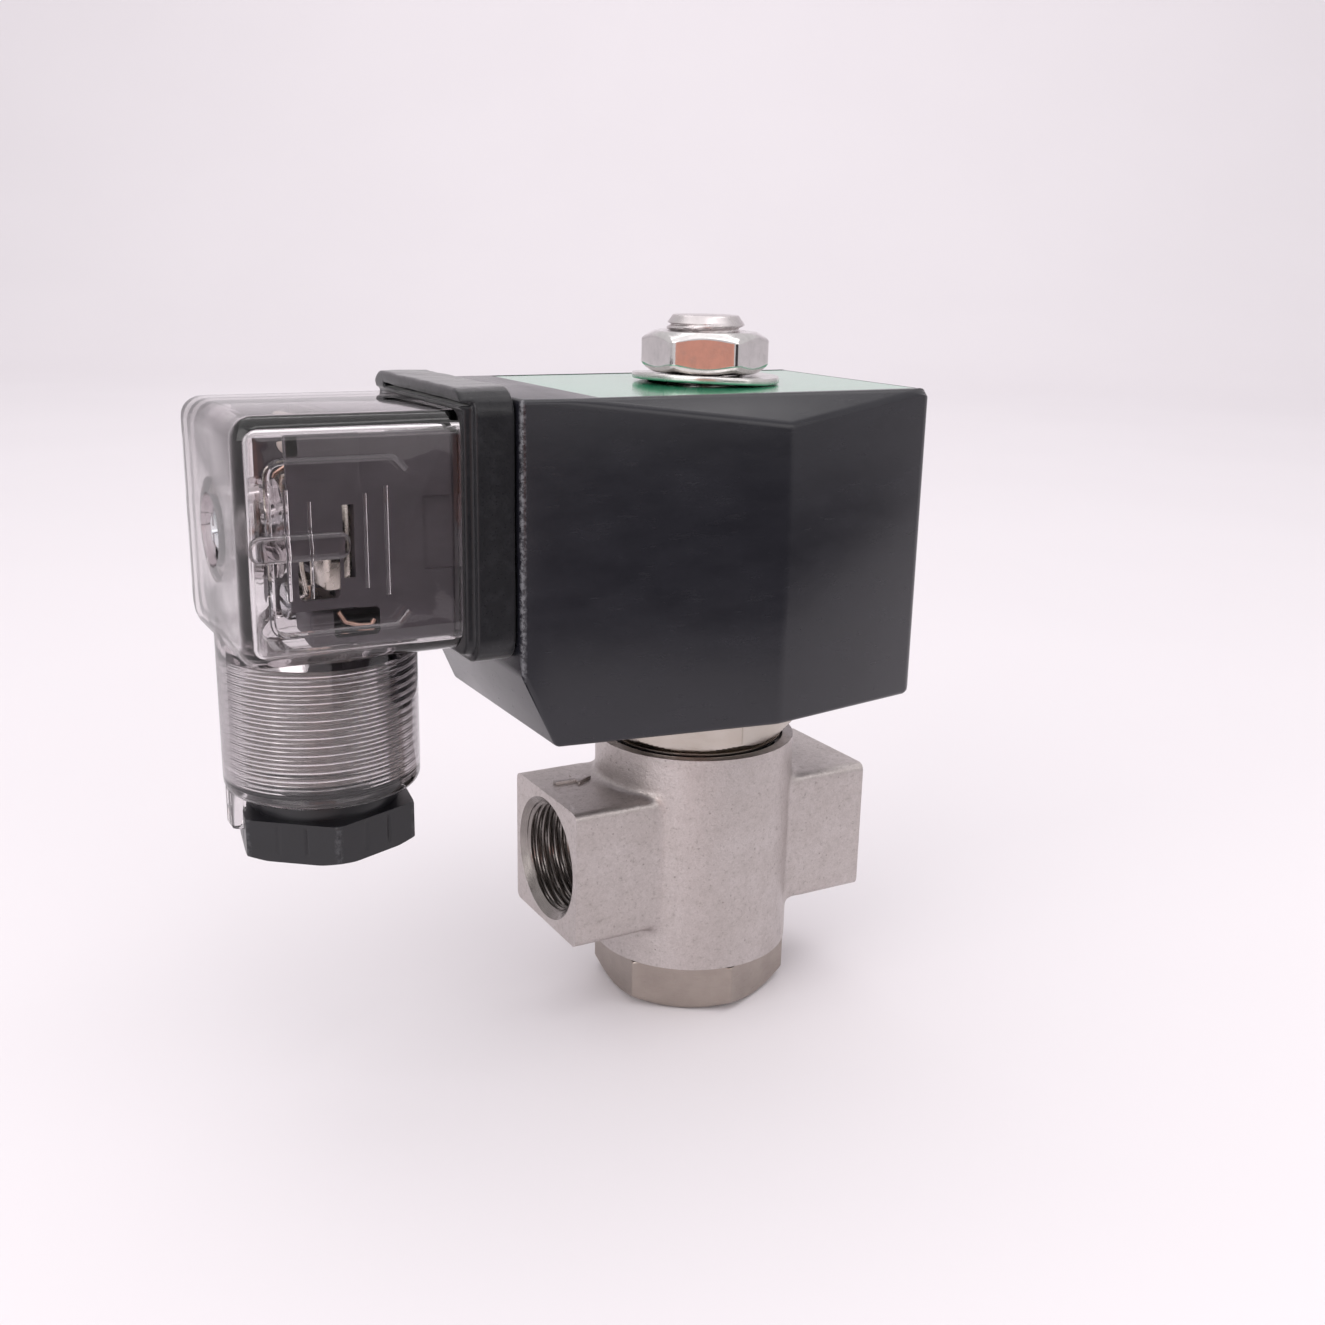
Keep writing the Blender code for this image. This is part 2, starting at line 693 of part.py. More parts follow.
def make_gasket():
    """Rubber collar round the island, with a raised double lip over the housing's top."""
    gasket = box(
        "connector_gasket",
        (GASKET_MOUTH, -GASKET_HALF, GASKET_BOTTOM),
        (GASKET_BACK, GASKET_HALF, GASKET_TOP),
        BLACK_RUBBER,
        bevels=((along(0), 3.2, 4),),
    )
    opening_y, opening_z = ISLAND_HALF_Y + 0.4, ISLAND_HALF_Z + 0.4
    lip = box(
        "gasket_lip",
        (LIP_TIP, 1.8 - GASKET_HALF, HOUSING_TOP + GAP),
        (GASKET_BACK - 0.6, GASKET_HALF - 1.8, LIP_TOP),
        bevels=((any_edge, 0.8, 2),),
    )
    opening = box(
        "gasket_opening",
        (GASKET_MOUTH - 5, -opening_y, FACE_Z - opening_z),
        (GASKET_BACK + 1, opening_y, FACE_Z + opening_z),
        bevels=((along(0), 1.0, 2),),
    )
    groove = box(
        "gasket_groove",
        (LIP_TIP - 1, 3.4 - GASKET_HALF, 85.75),
        (LIP_TIP + 2.4, GASKET_HALF - 3.4, 86.15),
    )
    join(gasket, lip)
    return cut(gasket, opening, groove)


def make_housing():
    """Clear shell, open towards the coil, with the screw's boss inside and the gland's tube below."""

    def low_edge(ends):
        return along(0)(ends) and ends[0].z < 0

    shell = box(
        "connector_housing",
        (HOUSING_END, -HOUSING_HALF, HOUSING_BOTTOM),
        (HOUSING_MOUTH, HOUSING_HALF, HOUSING_TOP),
        SMOKED_PLASTIC,
        bevels=((low_edge, HOUSING_LOW_ROUND, 5), (outer_edge, HOUSING_ROUND, 4)),
    )
    tube = cylinder("gland_tube", GLAND_R, GLAND_BOTTOM, HOUSING_BOTTOM + 8, (GLAND_X, 0, 0))
    join(shell, tube)
    wall = HOUSING_WALL
    hollow = box(
        "housing_hollow",
        (HOUSING_END + wall, wall - HOUSING_HALF, HOUSING_BOTTOM + wall),
        (HOUSING_MOUTH + 5, HOUSING_HALF - wall, HOUSING_TOP - wall),
        bevels=((along(0), 1.0, 2),),
    )
    bore_profile = [
        (0, HOUSING_BOTTOM + wall + 1),
        (8.0, HOUSING_BOTTOM + wall + 1),
        (8.0, GLAND_SHOULDER),
        (GLAND_BORE_R, GLAND_SHOULDER),
        (GLAND_BORE_R, GLAND_BOTTOM - 1),
        (0, GLAND_BOTTOM - 1),
    ]
    bore = turned("gland_bore", bore_profile, (GLAND_X, 0, 0), steps=PLAIN_STEPS)
    cut(shell, hollow, bore)
    boss = cylinder(
        "screw_boss",
        SCREW_BOSS_R,
        -SCREW_BOSS_TIP,
        -HOUSING_END - wall / 2,
        (0, 0, FACE_Z),
        (-1, 0, 0),
        steps=PLAIN_STEPS,
    )
    join(shell, boss)
    recess_profile = [
        (0, -HOUSING_END + 1),
        (SCREW_RECESS_R, -HOUSING_END + 1),
        (SCREW_RECESS_R, -SCREW_RECESS_FLOOR),
        (1.9, -SCREW_RECESS_FLOOR),
        (1.9, -SCREW_BOSS_TIP - 1),
        (0, -SCREW_BOSS_TIP - 1),
    ]
    recess = turned("screw_recess", recess_profile, (0, 0, FACE_Z), (-1, 0, 0), steps=PLAIN_STEPS)
    return cut(shell, recess)


def outer_edge(ends):
    """The housing's sharp edges, other than those round its mouth."""
    same = [i for i in range(3) if ends[0][i] == ends[1][i] and ends[0][i] != 0]
    return len(same) == 2 and not (ends[0].x > 0 and ends[1].x > 0)


def make_terminal_block():
    """Insulating block that fills the housing's mouth, with a blade slot for each contact."""
    half_y, half_z = HOUSING_HALF - HOUSING_WALL - 0.4, ISLAND_HALF_Z + 0.4
    block = box(
        "terminal_block",
        (BLOCK_REAR, -half_y, FACE_Z - half_z),
        (HOUSING_MOUTH - 0.3, half_y, FACE_Z + half_z),
        BLOCK_PLASTIC,
        bevels=((along(0), 1.2, 2),),
    )
    nose = box(
        "block_nose",
        (HOUSING_MOUTH - 1, -ISLAND_HALF_Y, FACE_Z - ISLAND_HALF_Z),
        (BLOCK_FRONT, ISLAND_HALF_Y, FACE_Z + ISLAND_HALF_Z),
    )
    screw_way = cylinder("screw_way", 2.6, 30, 60, (0, 0, FACE_Z), (-1, 0, 0), steps=SMALL_STEPS)
    slots = [
        blade(f"clip_slot_{name}", BLOCK_REAR - 1, BLOCK_FRONT + 1, centre, wide, 7.6, 3.0)
        for name, centre, wide in contact_places()
    ]
    join(block, nose)
    return cut(block, screw_way, *slots)


def make_contact(name, centre, wide):
    """A forked clip that grips one blade, its clamp behind the block, and the clamp's screw."""
    clip = blade(f"contact_clip_{name}", -54.0, BLOCK_FRONT - 0.6, centre, wide, 7.0, 2.4, TIN)
    clamp = blade(f"clamp_{name}", -55.3, -52.3, centre, wide, 7.0, 5.4)
    join(clip, clamp)
    fork = blade(f"fork_{name}", -48.0, BLOCK_FRONT + 1, centre, wide, 9.0, SPADE_THICK + 2 * GAP)
    place = (0, centre[0], centre[1])
    hole = cylinder(f"clamp_hole_{name}", 1.5, 52.8, 56, place, (-1, 0, 0), steps=12)
    cut(clip, fork, hole)
    head_r, shank_r = 2.4, 1.2
    profile = [(0, 57.2), (head_r, 57.2), (head_r, 55.6), (shank_r, 55.6), (shank_r, 53.1), (0, 53.1)]
    screw = turned(f"terminal_screw_{name}", profile, place, (-1, 0, 0), ZINC, SMALL_STEPS)
    y, z = centre
    cut(screw, box(f"driver_slot_{name}", (-58, y - 4, z - 0.3), (-56.6, y + 4, z + 0.3)))
    return [clip, screw]


def make_indicator():
    """A small board behind the contacts with its lamp and series resistor."""
    board = box("indicator_board", (BOARD_FACE, -7.0, 76.6), (BOARD_FACE + 1.0, 7.0, 82.2), BOARD)
    foot = 0.3 - BOARD_FACE
    dome = [(0, 3.7), (0.8, 3.45), (1.3, 2.9), (1.5, 2.2), (1.5, 0), (0, 0)]
    lamp_profile = [(radius, foot + height) for radius, height in dome]
    lamp = turned("indicator_led", lamp_profile, (0, -3.4, 79.5), (-1, 0, 0), LED_PLASTIC, SMALL_STEPS)
    barrel = [(0, 6.2), (0.8, 6.1), (0.95, 5.4), (0.8, 4.6), (0.8, 2.2), (0.95, 1.4), (0.8, 0.7), (0, 0.6)]
    resistor = turned("indicator_resistor", barrel, (BOARD_FACE - 1.4, 0, 79.5), (0, 1, 0), RESISTOR, 12)
    return [board, lamp, resistor]


def make_connector():
    contacts = []
    for name, centre, wide in contact_places():
        contacts += make_contact(name, centre, wide)
    parts = [make_housing(), make_terminal_block(), *contacts, *make_indicator()]
    anchor("connector_axis", (HOUSING_MOUTH, 0, FACE_Z), *parts)


def make_centre_screw():
    """The captive screw that holds the connector on, and the sealing washer under its head."""
    place = (0, 0, FACE_Z)
    head_low, head_high, head_r, shank_r = 61.4, 63.6, 3.2, 1.45
    profile = [
        (0, head_high),
        (head_r - 0.7, head_high),
        (head_r, head_high - 0.6),
        (head_r, head_low),
        (shank_r, head_low),
        (shank_r, 29.5),
        (0, 29.5),
    ]
    screw = turned("centre_screw", profile, place, (-1, 0, 0), ZINC, PLAIN_STEPS)
    arm, slot = 2.0, 0.45
    for name, y, z in (("flat", arm, slot), ("upright", slot, arm)):
        cut(screw, box(f"cross_{name}", (-65, -y, FACE_Z - z), (-62.6, y, FACE_Z + z)))
    washer = ring(
        "screw_seal", 1.75, 3.4, -SCREW_RECESS_FLOOR + GAP, head_low - GAP, place, (-1, 0, 0), SEAL_RUBBER, 24
    )
    anchor("screw_axis", (SCREW_RECESS_FLOOR, 0, FACE_Z), screw, washer)


def make_gland():
    """The cable gland: a hexagon nut, the thrust washer above it and the rubber grommet it squeezes."""
    place = (GLAND_X, 0, 0)
    nut = hexagon(
        "gland_nut", GLAND_HEX, GLAND_NUT_BOTTOM, GLAND_NUT_TOP, GLAND_CORNER, place[:2], GLAND_PLASTIC
    )
    keep_inside(
        nut,
        chamfer_envelope("gland_nut_chamfer", GLAND_HEX, GLAND_NUT_BOTTOM, GLAND_NUT_TOP, 0.8, 0, place),
    )
    sleeve_r, sleeve_top = GLAND_BORE_R - 0.4, GLAND_SLEEVE_TOP
    sleeve_profile = [
        (GLAND_HOLE_R + 0.5, sleeve_top),
        (sleeve_r, sleeve_top),
        (sleeve_r, GLAND_BOTTOM - 0.4),
        (10.6, GLAND_BOTTOM - 0.4),
        (10.6, GLAND_NUT_TOP - 1),
        (GLAND_HOLE_R + 0.5, GLAND_NUT_TOP - 1),
    ]
    join(nut, turned("gland_sleeve", sleeve_profile, place, steps=PLAIN_STEPS))
    cut(nut, cylinder("gland_hole", GLAND_HOLE_R, GLAND_NUT_BOTTOM - 1, sleeve_top, place, steps=PLAIN_STEPS))
    washer_top = sleeve_top + GAP + 1.0
    washer = ring(
        "gland_washer", 4.6, sleeve_r, sleeve_top + GAP, washer_top, place, material=GLAND_PLASTIC, steps=24
    )
    grommet_profile = [
        (CABLE_HOLE_R, GLAND_SHOULDER - 0.4),
        (7.2, GLAND_SHOULDER - 0.4),
        (sleeve_r, GLAND_SHOULDER - 2.2),
        (sleeve_r, washer_top + GAP),
        (CABLE_HOLE_R, washer_top + GAP),
    ]
    grommet = turned("gland_grommet", grommet_profile, place, material=BLACK_RUBBER, steps=24)
    anchor("gland_axis", (GLAND_X, 0, GLAND_NUT_BOTTOM), nut, washer, grommet)


def main():
    make_valve_body()
    make_bottom_plug()
    make_seal_ring("plug_oring", PLUG_BORE_R + 0.9, 0.7, BODY_BOTTOM + 0.85)
    make_tube_parts()
    make_seal_ring("tube_oring", UPPER_BORE_R + 0.75, 0.6, BODY_TOP - 0.65)
    make_plunger()
    make_return_spring()
    make_top_fasteners()
    make_coil()
    make_connector()
    make_centre_screw()
    make_gland()


main()
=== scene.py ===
"""Solenoid valve: the finished look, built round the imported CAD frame.

Helper sizes are millimetres in the CAD's frame: +Z up, connector towards -X, camera side -Y.
"""

import math
from contextlib import contextmanager

import bmesh
import bpy
from mathutils import Matrix, Vector, noise


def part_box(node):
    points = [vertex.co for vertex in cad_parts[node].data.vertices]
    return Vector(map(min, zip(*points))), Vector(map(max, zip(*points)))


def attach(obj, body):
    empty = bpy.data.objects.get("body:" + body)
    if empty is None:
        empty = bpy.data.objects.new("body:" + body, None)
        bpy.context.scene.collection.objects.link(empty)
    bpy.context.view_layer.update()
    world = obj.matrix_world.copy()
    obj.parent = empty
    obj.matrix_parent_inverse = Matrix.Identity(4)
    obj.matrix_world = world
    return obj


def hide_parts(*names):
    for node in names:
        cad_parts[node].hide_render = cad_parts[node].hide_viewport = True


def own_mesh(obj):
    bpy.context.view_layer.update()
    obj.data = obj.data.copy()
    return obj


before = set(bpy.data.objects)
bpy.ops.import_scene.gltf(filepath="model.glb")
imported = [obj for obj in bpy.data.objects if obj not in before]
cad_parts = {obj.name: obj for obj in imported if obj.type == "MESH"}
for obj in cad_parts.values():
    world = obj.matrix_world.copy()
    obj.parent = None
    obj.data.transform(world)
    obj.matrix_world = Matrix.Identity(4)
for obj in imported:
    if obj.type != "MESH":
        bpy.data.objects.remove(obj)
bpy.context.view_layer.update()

MM = 0.001
TURN = 2 * math.pi


def corners(node):
    """A CAD node's lowest and highest corners in millimetres."""
    low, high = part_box(node)
    return low / MM, high / MM


# ---- looks


class Look:
    """A Principled material with short calls for the procedural parts."""

    def __init__(self, name, **values):
        self.material = bpy.data.materials.new(name)
        self.material.use_nodes = True
        self.tree = self.material.node_tree
        self.shader = self.tree.nodes["Principled BSDF"]
        self.output = self.tree.nodes["Material Output"]
        self.place = self.add("ShaderNodeTexCoord").outputs["Object"]
        for socket, value in values.items():
            self.set(socket.replace("_", " "), value)

    def add(self, kind, inputs=(), **settings):
        """A new node with these settings, fed through its inputs."""
        node = self.tree.nodes.new(kind)
        for key, value in settings.items():
            setattr(node, key, value)
        for socket, value in dict(inputs).items():
            self.feed(node.inputs[socket], value)
        return node

    def feed(self, socket, value):
        """Links the socket to another one, or sets its constant."""
        if isinstance(value, bpy.types.NodeSocket):
            self.tree.links.new(value, socket)
        else:
            socket.default_value = value

    def set(self, socket, value):
        """Feeds one input of the Principled shader."""
        self.feed(self.shader.inputs[socket], value)

    def stretched(self, x, y, z):
        """Object coordinates scaled unevenly, for drawn-out grain."""
        return self.add("ShaderNodeMapping", {"Vector": self.place, "Scale": (x, y, z)}).outputs["Vector"]

    def noise(self, size, detail=3.0, rough=0.55, vector=None):
        """Smooth noise whose blobs are about size millimetres across."""
        values = {"Scale": 1 / (size * MM), "Detail": detail, "Roughness": rough}
        return self.add("ShaderNodeTexNoise", {"Vector": vector or self.place, **values}).outputs["Fac"]

    def cells(self, size):
        """The distance to the nearest of scattered points about size millimetres apart."""
        inputs = {"Vector": self.place, "Scale": 1 / (size * MM)}
        return self.add("ShaderNodeTexVoronoi", inputs).outputs["Distance"]

    def span(self, value, low, high, to_low=0.0, to_high=1.0):
        """Maps value's run from low to high onto the new run, and clamps it there."""
        inputs = {"Value": value, "From Min": low, "From Max": high, "To Min": to_low, "To Max": to_high}
        return self.add("ShaderNodeMapRange", inputs).outputs["Result"]

    def math(self, op, a, b):
        """The result of one arithmetic step."""
        return self.add("ShaderNodeMath", {0: a, 1: b}, operation=op).outputs[0]

    def blend(self, factor, a, b):
        """Colour a where factor is 0 and b where it is 1."""
        a, b = ((*tone, 1) if isinstance(tone, tuple) else tone for tone in (a, b))
        return self.add("ShaderNodeMix", {0: factor, 6: a, 7: b}, data_type="RGBA").outputs[2]

    def axis(self, which):
        """One coordinate in millimetres."""
        node = self.add("ShaderNodeSeparateXYZ", {0: self.place})
        return self.math("MULTIPLY", node.outputs[which], 1 / MM)

    def near_uprights(self, places, width):
        """Near 1 within width millimetres of the vertical lines through the (x, y) places."""
        scale = (1 / MM, 1 / MM, 0)
        flat = self.add("ShaderNodeVectorMath", {0: self.place, 1: scale}, operation="MULTIPLY").outputs[0]
        nearest = None
        for place in places:
            node = self.add("ShaderNodeVectorMath", {0: flat, 1: (*place, 0)}, operation="DISTANCE")
            gap = node.outputs["Value"]
            nearest = gap if nearest is None else self.math("MINIMUM", nearest, gap)
        return self.span(nearest, width, 0.0)

    def bump(self, *layers):
        """Chains (height socket, depth in millimetres) layers into the normal."""
        normal = None
        for height, depth in layers:
            node = self.add("ShaderNodeBump", {"Distance": depth * MM, "Height": height})
            if normal is not None:
                self.feed(node.inputs["Normal"], normal)
            normal = node.outputs["Normal"]
        self.set("Normal", normal)
        return self


def cast_look():
    """Blasted investment-cast stainless steel: warm grey, finely speckled and pitted."""
    look = Look("cast_stainless", Metallic=1.0)
    fine, coarse = look.noise(0.24, 2, 0.7), look.noise(0.55, 3, 0.75)
    patch = look.noise(6, 3)
    pits = look.span(look.cells(1.1), 0.16, 0.05)
    pits = look.math("MULTIPLY", pits, look.span(look.noise(2.6, 2), 0.45, 0.6))
    blotch = look.noise(1.3, 3, 0.6)
    tone = look.blend(look.span(patch, 0.3, 0.7), (0.545, 0.50, 0.485), (0.60, 0.555, 0.545))
    tone = look.blend(look.span(blotch, 0.45, 0.7, 0.0, 0.4), tone, (0.43, 0.39, 0.375))
    tone = look.blend(look.span(fine, 0.3, 0.7, 0.0, 0.35), tone, (0.33, 0.30, 0.28))
    tone = look.blend(look.span(coarse, 0.56, 0.72, 0.0, 0.45), tone, (0.27, 0.245, 0.225))
    look.set("Base Color", look.blend(look.math("MULTIPLY", pits, 0.5), tone, (0.16, 0.145, 0.13)))
    look.set("Roughness", look.span(coarse, 0.3, 0.7, 0.36, 0.52))
    return look.bump((fine, 0.04), (coarse, 0.05), (pits, -0.04), (look.noise(1.8, 2), 0.05))


def turned_look(name, light, dark, rough=0.24, lay=(1, 1, 60)):
    """Machined stainless steel with fine tool marks along one direction."""
    look = Look(name, Metallic=1.0)
    marks = look.noise(3.0, 4, 0.7, look.stretched(*lay))
    patch = look.noise(3.5, 3)
    look.set("Base Color", look.blend(look.span(patch, 0.35, 0.7), light, dark))
    look.set("Roughness", look.span(marks, 0.3, 0.7, rough - 0.06, rough + 0.08))
    return look.bump((marks, 0.012), (look.noise(0.5, 2), 0.006))


def bright_look(name, tone, rough, relief=1.0):
    """Bright plated or polished metal with faint scratches and dull spots."""
    look = Look(name, Metallic=1.0)
    haze = look.noise(1.8, 4, 0.65)
    scratch = look.noise(0.9, 3, 0.6, look.stretched(1, 9, 3))
    look.set("Base Color", look.blend(look.span(haze, 0.4, 0.75), tone, tuple(c * 0.82 for c in tone)))
    look.set("Roughness", look.span(haze, 0.35, 0.75, rough - 0.03, rough + 0.12))
    return look.bump((scratch, 0.006 * relief), (look.noise(2.5, 2), 0.015 * relief))


def moulded_look(name, tone, rough, grain=0.012, corners_at=(), worn=(0.16, 0.16, 0.17)):
    """Moulded plastic with a fine mould texture, handling marks, and paler upright corners: partly rubbed wear,
    partly a painted highlight on the rounded edges.
    """
    look = Look(name)
    texture = look.noise(0.30, 2, 0.6)
    smear = look.noise(9, 4, 0.6, look.stretched(1, 1, 2.5))
    scratch = look.span(look.noise(2.4, 5, 0.7, look.stretched(0.5, 3, 4)), 0.60, 0.68)
    colour = look.blend(look.span(smear, 0.35, 0.7), tone, tuple(c * 1.25 + 0.001 for c in tone))
    if corners_at:
        # Paler patches at the upright corners: partly rubbed wear, partly a painted highlight on the rounded
        # edges.
        rubbed_and_lit = look.span(look.noise(0.7, 4, 0.75), 0.40, 0.62)
        rub_and_highlight = look.math("MULTIPLY", look.near_uprights(corners_at, 0.7), rubbed_and_lit)
        # worn is the corner tone: partly rubbed wear, partly a painted highlight.
        colour = look.blend(look.span(rub_and_highlight, 0.1, 0.7), colour, worn)
    look.set("Base Color", colour)
    base = look.span(smear, 0.3, 0.7, rough - 0.025, rough + 0.03)
    look.set("Roughness", look.math("ADD", base, look.math("MULTIPLY", scratch, 0.06)))
    return look.bump((texture, grain), (look.noise(14, 2), 0.05))


def label_look():
    """Printed foil label: deep green ink under a clear glossy film, slightly mottled."""
    look = Look("label_print", IOR=1.5, Coat_Weight=0.7, Coat_Roughness=0.09)
    mottle = look.noise(0.5, 3, 0.6)
    patch = look.noise(8, 3)
    ink = look.blend(look.span(patch, 0.35, 0.7), (0.035, 0.30, 0.15), (0.05, 0.36, 0.20))
    look.set("Base Color", look.blend(look.span(mottle, 0.35, 0.65, 0, 0.3), ink, (0.02, 0.22, 0.10)))
    look.set("Roughness", look.span(mottle, 0.3, 0.7, 0.16, 0.26))
    return look.bump((mottle, 0.004), (look.noise(6, 2), 0.05))


def rubber_look(name="black_rubber", dust_and_sheen_above=None):
    """Black rubber with a fine skin; above a height in millimetres, a paler tone stands for settled dust and
    for a painted sheen on the top face.
    """
    look = Look(name, Specular_IOR_Level=0.4, Sheen_Weight=0.3, Sheen_Roughness=0.4)
    texture = look.noise(0.25, 3, 0.7)
    dust = look.noise(2.2, 4, 0.7)
    tone = look.blend(look.span(dust, 0.5, 0.75), (0.004, 0.004, 0.006), (0.012, 0.012, 0.015))
    if dust_and_sheen_above:
        # Paler top face: settled dust, and a painted sheen where the top catches the light from above.
        above = look.span(look.axis("Z"), dust_and_sheen_above, dust_and_sheen_above + 0.3)
        dust_and_sheen = look.math("MULTIPLY", above, look.span(look.noise(0.8, 5, 0.75), 0.3, 0.75, 0.3, 1.0))
        tone = look.blend(dust_and_sheen, tone, (0.085, 0.078, 0.085))
    look.set("Base Color", tone)
    look.set("Roughness", look.span(texture, 0.3, 0.7, 0.26, 0.40))
    return look.bump((texture, 0.012), (look.noise(3, 2), 0.05))


def smoked_look():
    """Clear plastic whose smoky tint deepens along the light's path; shadow rays pass straight through."""
    look = Look("smoked_plastic", IOR=1.5, Transmission_Weight=1.0)
    film = look.noise(7, 3)
    look.set("Base Color", look.blend(look.span(film, 0.35, 0.65), (0.95, 0.94, 0.945), (0.98, 0.97, 0.975)))
    frost = look.span(look.axis("X"), -63.4, -64.4, 0.0, 0.16)  # only the end face's outer skin
    look.set("Roughness", look.math("ADD", look.span(film, 0.3, 0.7, 0.015, 0.04), frost))
    look.bump((look.noise(5, 2), 0.02), (look.noise(0.8, 2), 0.002))
    clear = look.add("ShaderNodeBsdfTransparent", {"Color": (0.95, 0.94, 0.94, 1)})
    shadow = look.add("ShaderNodeLightPath").outputs["Is Shadow Ray"]
    mix = look.add("ShaderNodeMixShader", {0: shadow, 1: look.shader.outputs[0], 2: clear.outputs[0]})
    look.feed(look.output.inputs["Surface"], mix.outputs[0])
    smoke = look.add("ShaderNodeVolumeAbsorption", {"Color": (0.14, 0.04, 0.07, 1), "Density": 70})
    look.feed(look.output.inputs["Volume"], smoke.outputs[0])
    return look


def silicone_look():
    """Translucent grey silicone rubber."""
    look = Look("silicone", Transmission_Weight=0.15, IOR=1.42)
    cloud = look.noise(1.5, 3)
    tone = look.blend(look.span(cloud, 0.35, 0.65), (0.26, 0.235, 0.232), (0.20, 0.18, 0.178))
    look.set("Base Color", tone)
    look.set("Roughness", look.span(cloud, 0.3, 0.7, 0.3, 0.42))
    return look.bump((look.noise(0.6, 2), 0.02))


COIL_LEFT, COIL_RIDGE = -33.45, 0.2  # X of the coil's left face, and of its broadest section
GLAND_X, GLAND_CORNER = -53.0, 21.5  # the gland's axis, and the bearing of one of its nut's corners
COIL_CORNERS = [(COIL_LEFT + 0.15, side * 15.95) for side in (-1, 1)]
GLAND_TURNS = [math.radians(GLAND_CORNER + 60 * k) for k in range(6)]
GLAND_CORNERS = [(GLAND_X + 11.3 * math.cos(turn), 11.3 * math.sin(turn)) for turn in GLAND_TURNS]

LOOKS = {
    "cast": cast_look(),
    "turned": turned_look("turned_stainless", (0.46, 0.43, 0.385), (0.40, 0.365, 0.32)),
    # Darker copy of the turned steel for the port bores: a machined finish, with painted shade of the deep
    # ports in its tone.
    "bored": turned_look("bored_stainless", (0.30, 0.275, 0.26), (0.22, 0.20, 0.19), 0.26, (60, 1, 1)),
    "plug": turned_look("plug_steel", (0.40, 0.35, 0.315), (0.345, 0.30, 0.27), 0.30),
    "hex": turned_look("hex_steel", (0.50, 0.46, 0.42), (0.44, 0.40, 0.35), 0.20),
    "nut": bright_look("nut_steel", (0.74, 0.72, 0.71), 0.09),
    "stud": bright_look("stud_steel", (0.66, 0.62, 0.62), 0.26),
    "washer": bright_look("washer_steel", (0.68, 0.67, 0.65), 0.20),
    "magnet": turned_look("magnetic_steel", (0.48, 0.47, 0.46), (0.40, 0.39, 0.38), 0.22),
    "spring": bright_look("spring_steel", (0.55, 0.55, 0.56), 0.2),
    "zinc": bright_look("zinc_steel", (0.66, 0.67, 0.69), 0.22),
    "copper": bright_look("copper", (0.62, 0.42, 0.34), 0.3),
    "brass": bright_look("brass", (0.72, 0.56, 0.30), 0.25),
    "tin": bright_look("tinned_brass", (0.78, 0.73, 0.66), 0.24, 0.25),
    "coil": moulded_look(
        "coil_plastic", (0.0095, 0.0095, 0.0135), 0.24, 0.006, COIL_CORNERS, (0.12, 0.12, 0.13)
    ),
    "bobbin": moulded_look("bobbin_plastic", (0.30, 0.28, 0.24), 0.45),
    "block": moulded_look("block_plastic", (0.070, 0.063, 0.073), 0.42, 0.005),
    "gland": moulded_look(
        "gland_plastic", (0.006, 0.006, 0.008), 0.33, 0.010, GLAND_CORNERS, (0.05, 0.05, 0.055)
    ),
    "board": moulded_look("circuit_board", (0.06, 0.05, 0.045), 0.4),
    "resistor": moulded_look("resistor_body", (0.50, 0.44, 0.40), 0.4),
    "led": moulded_look("led_plastic", (0.60, 0.56, 0.57), 0.2),
    "label": label_look(),
    "rubber": rubber_look(dust_and_sheen_above=86.5),
    "seal": rubber_look("seal_rubber"),
    "smoked": smoked_look(),
    "silicone": silicone_look(),
}


# ---- mesh tools


@contextmanager
def editing(mesh):
    """The mesh as a bmesh, written back afterwards."""
    work = bmesh.new()
    work.from_mesh(mesh)
    yield work
    work.to_mesh(mesh)
    work.free()


def placed(name, data):
    """A new object of the scene that shows the data."""
    item = bpy.data.objects.new(name, data)
    bpy.context.scene.collection.objects.link(item)
    return item


def made(name, verts, faces):
    """A mesh object from millimetre points, with its faces turned outwards."""
    mesh = bpy.data.meshes.new(name)
    mesh.from_pydata([Vector(v) * MM for v in verts], [], faces)
    with editing(mesh) as work:
        bmesh.ops.recalc_face_normals(work, faces=work.faces)
    return placed(name, mesh)


def evaluated(item):
    """The object's mesh with its modifiers, or its curve's thickness, worked out."""
    bpy.context.view_layer.update()
    graph = bpy.context.evaluated_depsgraph_get()
    return bpy.data.meshes.new_from_object(item.evaluated_get(graph), depsgraph=graph)


def settle(piece):
    """Turns the object's modifiers into its mesh."""
    mesh = evaluated(piece)
    piece.modifiers.clear()
    old = piece.data
    piece.data = mesh
    mesh.name = piece.name
    if old.users == 0:
        bpy.data.meshes.remove(old)
    return piece


def modify(piece, kind, **settings):
    """Runs one modifier on the piece."""
    modifier = piece.modifiers.new(kind.lower(), kind)
    for key, value in settings.items():
        setattr(modifier, key, value)
    return settle(piece)


def combine(piece, operation, *others):
    """Runs an exact boolean with each of the others, which are used up."""
    for other in others:
        modify(piece, "BOOLEAN", operation=operation, object=other, solver="EXACT")
        bpy.data.objects.remove(other)
    return piece


def cut(piece, *cutters):
    return combine(piece, "DIFFERENCE", *cutters)


def add(piece, *others):
    return combine(piece, "UNION", *others)


def merged(name, *pieces):
    """One object that holds all the meshes as they are."""
    work = bmesh.new()
    for piece in pieces:
        work.from_mesh(piece.data)
    mesh = bpy.data.meshes.new(name)
    work.to_mesh(mesh)
    work.free()
    for piece in pieces:
        bpy.data.objects.remove(piece)
    return placed(name, mesh)


def rounded(piece, width, segments=3, angle=30):
    """Rounds every edge sharper than angle."""
    return modify(
        piece, "BEVEL", width=width * MM, segments=segments, limit_method="ANGLE",
        angle_limit=math.radians(angle), use_clamp_overlap=True, harden_normals=False,
    )  # fmt: skip


